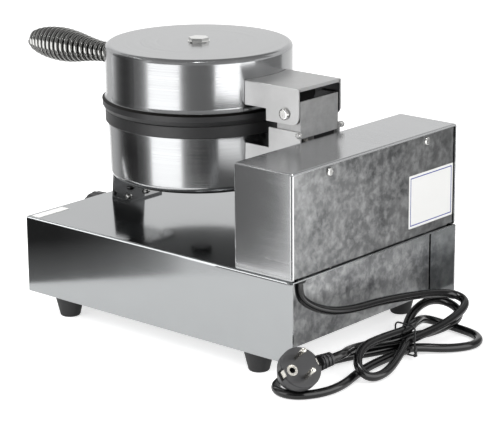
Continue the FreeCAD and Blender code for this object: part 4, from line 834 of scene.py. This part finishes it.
@dataclass
class Lead:
    """The mains lead in its tied hank, with its plug."""

    radius: float = 4.0
    outlet: Point = (95.0, 207.7, 87.8)
    outlet_run: float = 12.0
    free_run: tuple[Point, ...] = (
        (87.5, 209.6, 66.5), (72, 213, 57.4), (52, 216, 51), (28, 218.5, 48), (0, 220.5, 47),
        (-30, 222, 44), (-58, 223, 40), (-80, 224, 36.4), (-96, 226.8, 33.4), (-105.5, 233, 30.8),
        (-107, 242, 28), (-99.5, 249.3, 25.4), (-84, 253.6, 22.4), (-60, 255, 18.8), (-40, 252.9, 16.4))
    waist: Span = (-10.0, 246.0)
    waist_run: float = 7.0
    waist_slots: tuple[Span, ...] = (
        (6.0, 15.6), (0.2, 23.8), (4.4, 6.5), (-5.4, 6.5), (-2.5, 15.3))
    neck: float = 0.40
    shoulder: float = 0.75
    tip: float = 0.52
    # Each loop: heading, reach, half width, swell going out, swell coming back, heights of its corners.
    loops: tuple[tuple, ...] = (
        (11, 84, 13, 0.8, 0.5, (10.5, 5.0, 5.0, 14.0, 24.5, 25.5)),
        (172, 80, 34, 0.5, 0.75, (20.5, 13.0, 4.1, 4.1, 4.1, 4.6)),
        (-6, 155, 29, 0.25, 0.95, (4.6, 4.1, 4.1, 4.1, 4.1, 4.6)),
        (190, 96, 18, 1.0, 0.35, (19.0, 27.0, 24.0, 17.0, 13.4, 10.0)))
    plug_run: tuple[Point, ...] = ((10, 236, 15), (30, 230, 16), (50, 232.5, 19), (68, 241, 24), (82, 249.5, 27.6))
    plug_neck: Point = (102.13, 250.99, 28.68)
    plug_way: Point = (-0.949, 0.290, 0.120)
    plug_straight: float = 8.0
    length: float = 1.40
    tie_radius: float = 0.8
    tie_reach: float = 5.6
    tie_bend: float = 9.0
    tie_shift: float = 0.2
    # The tie's twisted tails: how far out they start, their way, length, steps and twists, and their swing in
    # radii, how fast it grows and from which share of the tail on.
    tie_knot: float = 0.4
    tie_way: Point = (0.72, 0.55, -0.42)
    tie_tail: float = 12.0
    tie_steps: int = 15
    tie_twists: float = 2.5
    tie_swing: Point = (1.05, 2.2, 0.75)

    def slot(self, index: int, shift: float) -> Point:
        """Return a strand's place in the waist, moved along X."""
        across, height = self.waist_slots[index]
        return (self.waist[0] + shift, self.waist[1] + across, height)

    def loop(
        self, heading: float, reach: float, half: float, out: float, back: float, heights: Sequence[float],
    ) -> list[Point]:
        """Return one drop-shaped loop that leaves the waist and comes back to it.

        Args:
            heading: the way it leaves, in degrees.
            reach: its length, in millimetres.
            half: half its width.
            out: its swell on the way out, in half widths.
            back: its swell on the way back.
            heights: the heights of its corners.

        Returns:
            Its six corners, in millimetres.
        """
        angle = math.radians(heading)
        along = (math.cos(angle) * reach, math.sin(angle) * reach)
        aside = (math.sin(angle) * half, -math.cos(angle) * half)
        corners = (
            (self.neck, -out), (self.shoulder, -1), (1, -self.tip),
            (1, self.tip), (self.shoulder, 1), (self.neck, back))
        return [
            (self.waist[0] + along[0] * far + aside[0] * side, self.waist[1] + along[1] * far + aside[1] * side, z)
            for (far, side), z in zip(corners, heights)]

    def route(self) -> list[Point]:
        """Return the cord's route from its outlet to the plug's neck, in millimetres."""
        x, y, z = self.outlet
        points = [self.outlet, (x, y, z - self.outlet_run), *self.free_run]
        points += [self.slot(0, -self.waist_run), self.slot(0, 0.0), self.slot(0, self.waist_run)]
        for index, values in enumerate(self.loops):
            points += self.loop(*values)
            onward = self.waist_run if index % 2 else -self.waist_run
            points += [self.slot(index + 1, -onward), self.slot(index + 1, onward)]
        points += self.plug_run
        end, way = Vector(self.plug_neck), Vector(self.plug_way)
        points += [tuple(end + way * self.plug_straight), tuple(end)]
        return points

    def tie_route(self) -> list[Point]:
        """Return the twist tie's route: one tail, the loop round the waist and the other tail."""
        ys = [self.waist[1] + across for across, height in self.waist_slots]
        zs = [height for across, height in self.waist_slots]
        near, foot = min(ys) - self.tie_reach, min(zs) - self.tie_reach
        far, top = max(ys) + self.tie_reach, max(zs) + self.tie_reach
        x, bend = self.waist[0], self.tie_bend
        knot = Vector((x, far + self.tie_knot, foot + bend))
        way = Vector(self.tie_way).normalized()
        side = way.cross(Vector((0, 0, 1))).normalized()
        rise = side.cross(way)
        swing, flare, start = self.tie_swing
        tails: list[list[Point]] = [[], []]
        for tail, phase in zip(tails, (0.0, math.pi)):
            for step in range(self.tie_steps + 1):
                share = step / self.tie_steps
                angle = phase + 2 * math.pi * self.tie_twists * share
                arm = self.tie_radius * (swing + flare * max(0.0, share - start))
                tail.append(tuple(
                    knot + way * (self.tie_tail * share) + (side * math.cos(angle) + rise * math.sin(angle)) * arm))
        corners = (
            (3, far, top - bend), (2, far, top), (1, far - bend, top), (0, near + bend, top), (0, near, top),
            (0, near, top - bend), (0, near, foot + bend), (0, near, foot), (-1, near + bend, foot),
            (-2, far - bend, foot), (-3, far, foot))
        ring = [(x + shift * self.tie_shift, y, z) for shift, y, z in corners]
        return tails[0][::-1] + ring + tails[1]

    def build(self) -> None:
        """Make the cord and its tie, and log them."""
        tie = piece(
            "twist_tie", curve_mesh(line_curve("twist_tie", self.tie_route(), self.tie_radius)),
            Body.BASE, "black_plastic", MOULDED_BLACK)
        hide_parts("cord_tie")
        curve = line_curve("mains_lead", self.route(), self.radius)
        curve.materials.append(CORD_VINYL.material())
        cord = put("mains_lead", curve)
        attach(cord, Body.BASE.value)
        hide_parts("power_cord", "cord_hank")
        log.info("made mains_lead, %d route points", len(curve.splines[0].points))

    def dress(self) -> None:
        """Give the plug its finishes."""
        dress(PLUG_VINYL, "plug_body")
        dress(CONTACT_BRASS, "plug_pins", "plug_earth_contacts")


@dataclass(frozen=True)
class Board:
    """A flat card of the studio, which polished surfaces alone show."""

    name: str
    corners: Sequence[Point]
    # Its brightness low and high, and the heights in metres between which it changes.
    levels: Span
    fade: Span = (0.0, 1.0)
    one_sided: bool = False


@dataclass
class Studio:
    """The white table, the soft lamps and cards round it, the background and the camera."""

    eye: Point = (1.448667, 1.331022, 0.654104)
    right: Point = (-0.65522, 0.75541, -0.00721)
    up: Point = (-0.21234, -0.17500, 0.96140)
    back: Point = (0.72499, 0.63145, 0.27507)
    lens: float = 152.114
    sensor: float = 36.0
    floor_half: float = 6.0
    floor_colour: str = "#F2F2F2"
    floor_fill: float = 0.29
    floor_lift: float = 0.31
    sky: float = 0.62
    # The lamps, two towards the camera and one past the front corner: name, place and power.
    softboxes: tuple[tuple[str, Point, float], ...] = (
        ("left_softbox", (1.35, 0.05, 1.05), 9.0), ("right_softbox", (0.05, 1.60, 1.10), 9.0),
        ("edge_softbox", (0.45, -1.05, 1.20), 12.0))
    softbox_size: float = 0.9
    softbox_aim: Point = (0.0, 0.0, 0.12)
    ring_radius: float = 0.45
    ring_height: float = 0.22
    ring_axis: Point = (0.0, 0.0067, 0.0)
    ring_fade: Span = (0.075, 0.10)
    ring_steps: int = 16
    camera_bearing: float = 41.06
    # Cards round the drum: first and last bearing from the camera, in degrees, and brightness low and high.
    cards: tuple[tuple[float, float, float, float], ...] = (
        (-65.0, -20.0, 2.7, 2.7), (-20.0, -17.0, 0.85, 0.90), (-17.0, -13.0, 0.42, 0.45), (-13.0, -9.0, 0.30, 0.34),
        (-9.0, 0.0, 0.18, 0.28), (0.0, 15.0, 0.08, 0.27), (15.0, 18.5, 0.14, 0.34), (18.5, 66.0, 3.1, 3.1),
        (66.0, 113.0, 0.36, 0.36))
    # The darker hood over the cards, which the crown mirrors: its bearings, top edge and brightness.
    hood_bearings: Span = (-65.0, 66.0)
    hood_top: float = 0.62
    hood_level: float = 0.5
    # Boards that the handle and the base's long edge mirror, one that hides the strip from the crown, and two
    # screens, bare on their backs, that the wiring box and the lower drum mirror.
    boards: tuple[Board, ...] = (
        Board("studio_grip", (
            (0.08, -0.32, 0.205), (0.08, -0.12, 0.196), (0.08, -0.12, 0.258), (0.08, -0.32, 0.272)), (3.8, 3.8)),
        Board("studio_sill", (
            (0.125, -0.20, 0.105), (0.125, 0.125, 0.105), (0.140, 0.125, 0.0993), (0.140, -0.20, 0.0993)), (3.0, 3.0)),
        Board("studio_step", (
            (0.123, 0.125, 0.099), (0.123, 0.21, 0.099), (0.129, 0.21, 0.0967), (0.129, 0.125, 0.0967)), (3.0, 3.0)),
        Board("studio_shield", (
            (-0.15, 0.20, 0.29), (0.35, 0.20, 0.29), (0.35, 0.20, 0.58), (-0.15, 0.20, 0.58)), (0.4, 0.4)),
        Board("studio_screen", (
            (0.135, 0.12, 0.089), (0.135, 0.12, 0.24), (0.25, 0.12, 0.24), (0.25, 0.12, 0.046)),
            (0.34, 0.20), (0.06, 0.12), True),
        Board("studio_inner", (
            (0.02, 0.15, 0.10), (0.086, 0.15, 0.10), (0.086, 0.15, 0.168), (0.02, 0.15, 0.168)),
            (0.18, 1.85), (0.131, 0.158), True))
    # Overhead: a dark ceiling and a bright strip over the lead, as middle, size along and across the view, and level.
    overhead: tuple[tuple[str, Point, Span, float], ...] = (
        ("studio_ceiling", (0.0, 0.0, 1.0), (1.8, 1.8), 0.34), ("studio_strip", (0.14, 0.34, 0.60), (0.12, 0.36), 14.0))
    # The flag beside the machine: the way that it runs, the way out to it and how far out it is, in metres.
    flag_way: Point = (0.770, 0.638, 0.0)
    flag_out: Point = (0.638, -0.770, 0.0)
    flag_off: float = 0.243
    flag_fade: Span = (0.115, 0.165)
    # Light added at its foot, and the heights between which that fades out.
    flag_foot: float = 0.26
    foot_fade: Span = (0.0, 0.045)
    # Its outline, along its way and up, in metres.
    flag_outline: tuple[Span, ...] = (
        (-0.30, MM), (0.27, MM), (0.27, 0.03), (0.19, 0.06), (0.19, 0.42), (-0.30, 0.42))
    # Its brightness along its way: metres, then level low and high.
    flag_levels: tuple[Point, ...] = (
        (-0.300, 0.65, 0.72), (-0.140, 0.75, 0.92), (-0.076, 0.60, 0.80), (-0.034, 0.22, 0.25), (0.0, 0.06, 0.11),
        (0.030, 0.035, 0.07), (0.058, 0.035, 0.09), (0.084, 0.06, 0.18), (0.112, 0.11, 0.28), (0.139, 0.20, 0.38),
        (0.165, 0.42, 0.65), (0.190, 1.00, 1.60), (0.270, 0.80, 1.60))

    def build(self) -> None:
        """Set the whole studio up."""
        self.camera()
        self.floor()
        self.world()
        self.lamps()
        for number, (first, last, low, high) in enumerate(self.cards):
            self.card(f"studio_card_{number}", (first, last), (MM, self.ring_height), (low, high))
        self.card("studio_hood", self.hood_bearings, (self.ring_height, self.hood_top), (self.hood_level,) * 2)
        for board in self.boards:
            self.board(board)
        self.flag()
        turn = Matrix.Rotation(math.radians(self.camera_bearing), 3, "Z")
        for name, place, (long, wide), level in self.overhead:
            corners = [
                Vector(place) + turn @ Vector((x * long / 2, y * wide / 2, 0))
                for x, y in ((-1, -1), (1, -1), (1, 1), (-1, 1))]
            self.board(Board(name, corners, (level, level)))

    def camera(self) -> None:
        """Place the camera at the photograph's viewpoint."""
        data = bpy.data.cameras.new("view")
        data.sensor_fit = "HORIZONTAL"
        data.sensor_width = self.sensor
        data.lens = self.lens
        data.clip_start = 0.05
        eye = put("view", data)
        turn = Matrix((self.right, self.up, self.back)).transposed().to_4x4()
        eye.matrix_world = Matrix.Translation(self.eye) @ turn
        bpy.context.scene.camera = eye
        bpy.context.scene.view_settings.view_transform = "Standard"

    def seen(self, tree: Tree) -> Socket:
        """Return 1 for a ray that shows the background itself, straight or in metal or glass."""
        rays = add_node(tree, "ShaderNodeLightPath").outputs
        first = maths(tree, "MAXIMUM", rays["Is Camera Ray"], rays["Is Glossy Ray"])
        return maths(tree, "MAXIMUM", first, rays["Is Transmission Ray"])

    def stand(self, name: str, shape: Shape, material: Material, hidden: bool = True) -> None:
        """Put a piece of the studio in the scene, outside the object.

        Args:
            name: its name.
            shape: its working shape, which is freed.
            material: its material.
            hidden: whether it shows in polished surfaces alone.
        """
        mesh = bpy.data.meshes.new(name)
        shape.to_mesh(mesh)
        shape.free()
        mesh.materials.append(material)
        made = put(name, mesh)
        if hidden:
            for ray in ("camera", "diffuse", "shadow", "transmission"):
                setattr(made, f"visible_{ray}", False)

    def floor(self) -> None:
        """Lay the white floor, which keeps the shadow."""
        shape = bmesh.new()
        bmesh.ops.create_grid(shape, x_segments=1, y_segments=1, size=self.floor_half)
        made = bpy.data.materials.new("studio_floor")
        made.use_nodes = True
        tree = made.node_tree
        seen = maths(tree, "MULTIPLY", self.seen(tree), self.floor_fill)
        straight = add_node(tree, "ShaderNodeLightPath").outputs["Is Camera Ray"]
        fill(tree, tree.nodes["Principled BSDF"], {
            "Base Color": linear(self.floor_colour), "Roughness": 0.9, "Specular IOR Level": 0.0,
            "Emission Color": WHITE, "Emission Strength": maths(tree, "MULTIPLY_ADD", straight, self.floor_lift, seen)})
        self.stand("studio_floor", shape, made, hidden=False)

    def world(self) -> None:
        """Make the background white where it is seen, and a softer light elsewhere."""
        world = bpy.data.worlds.new("studio")
        bpy.context.scene.world = world
        world.use_nodes = True
        tree = world.node_tree
        level = ranged(tree, self.seen(tree), (0.0, 1.0), (self.sky, 1.0))
        fill(tree, tree.nodes["Background"], {"Color": WHITE, "Strength": level})

    def lamps(self) -> None:
        """Hang the soft lamps."""
        for name, place, power in self.softboxes:
            data = bpy.data.lights.new(name, "AREA")
            data.size = self.softbox_size
            data.energy = power
            aim = Vector(self.softbox_aim) - Vector(place)
            turn = aim.to_track_quat("-Z", "Y").to_matrix().to_4x4()
            put(name, data).matrix_world = Matrix.Translation(place) @ turn

    def glow(self, name: str, fade: Span, levels: Span) -> Material:
        """Return a glowing material that changes with height.

        Args:
            name: its name.
            fade: the heights between which it changes, in metres.
            levels: its brightness under them and above them.

        Returns:
            The material.
        """
        made = bpy.data.materials.new(name)
        made.use_nodes = True
        tree = made.node_tree
        tree.nodes.remove(tree.nodes["Principled BSDF"])
        spot = add_node(tree, "ShaderNodeSeparateXYZ", {0: add_node(tree, "ShaderNodeTexCoord").outputs["Object"]})
        level = ranged(tree, spot.outputs[2], fade, levels)
        light = add_node(tree, "ShaderNodeEmission", {"Color": WHITE, "Strength": level})
        fill(tree, tree.nodes["Material Output"], {"Surface": light.outputs[0]})
        return made

    def card(self, name: str, bearings: Span, heights: Span, levels: Span) -> None:
        """Stand one curved card round the drum.

        Args:
            name: its name.
            bearings: where it starts and ends, in degrees from the camera.
            heights: its lower and its upper edge, in metres.
            levels: how bright it is near the floor and high up.
        """
        shape = bmesh.new()
        start, end = (math.radians(self.camera_bearing + bearing) for bearing in bearings)
        foot = Vector(self.ring_axis) + Vector((math.cos(start), math.sin(start), 0)) * self.ring_radius
        ends = [shape.verts.new(foot + Vector((0, 0, height))) for height in heights]
        edge = shape.edges.new(ends)
        bmesh.ops.spin(
            shape, geom=[*ends, edge], cent=self.ring_axis, axis=(0, 0, 1), angle=end - start, steps=self.ring_steps)
        self.stand(name, shape, self.glow(name, self.ring_fade, levels))

    def board(self, board: Board) -> None:
        """Stand one flat card.

        Args:
            board: what it is like.
        """
        shape = bmesh.new()
        shape.faces.new([shape.verts.new(corner) for corner in board.corners])
        made = self.glow(board.name, board.fade, board.levels)
        if board.one_sided:
            tree = made.node_tree
            side = add_node(tree, "ShaderNodeNewGeometry").outputs["Backfacing"]
            clear = add_node(tree, "ShaderNodeBsdfTransparent")
            both = add_node(tree, "ShaderNodeMixShader", {
                0: side, 1: tree.nodes["Emission"].outputs[0], 2: clear.outputs[0]})
            fill(tree, tree.nodes["Material Output"], {"Surface": both.outputs[0]})
        self.stand(board.name, shape, made)

    def flag(self) -> None:
        """Stand the dark flag beside the machine, paler towards its ends, its top and its foot."""
        way, out = Vector(self.flag_way), Vector(self.flag_out)
        shape = bmesh.new()
        shape.faces.new([
            shape.verts.new(out * self.flag_off + way * along + Vector((0, 0, rise)))
            for along, rise in self.flag_outline])
        start, end = self.flag_levels[0][0], self.flag_levels[-1][0]
        peak = max(high for _, _, high in self.flag_levels)
        made = self.glow("studio_flag", self.flag_fade, (0.0, 1.0))
        tree = made.node_tree
        light = tree.nodes["Emission"]
        height = light.inputs["Strength"].links[0].from_socket
        spot = add_node(tree, "ShaderNodeTexCoord").outputs["Object"]
        along = vectors(tree, "DOT_PRODUCT", spot, self.flag_way)
        ramp = add_node(tree, "ShaderNodeValToRGB", {0: ranged(tree, along, (start, end), (0.0, 1.0))})
        stops = ramp.color_ramp.elements
        while len(stops) < len(self.flag_levels):
            stops.new(0.5)
        for stop, (place, low, high) in zip(stops, self.flag_levels):
            stop.position = (place - start) / (end - start)
            stop.color = (low / peak, high / peak, 0, 1)
        both = add_node(tree, "ShaderNodeSeparateColor", {0: ramp.outputs["Color"]}).outputs
        level = ranged(tree, height, (0.0, 1.0), (both[0], both[1]))
        rise = add_node(tree, "ShaderNodeSeparateXYZ", {0: spot}).outputs[2]
        foot = ranged(tree, rise, self.foot_fade, (self.flag_foot, 0.0))
        fill(tree, light, {"Strength": maths(tree, "MULTIPLY_ADD", level, peak, foot)})
        self.stand("studio_flag", shape, made)


def main() -> None:
    """Build the studio, then each sub-assembly, then dress them."""
    logging.basicConfig(level=logging.INFO, format="%(name)s: %(message)s")
    Studio().build()
    for part in (Lead(), Housing(), Hinge(), Handle(), Controls()):
        part.build()
    for part in (Lead(), Housing(), Heads(), Hinge(), Handle(), Controls()):
        part.dress()


if __name__ == "__main__":
    main()
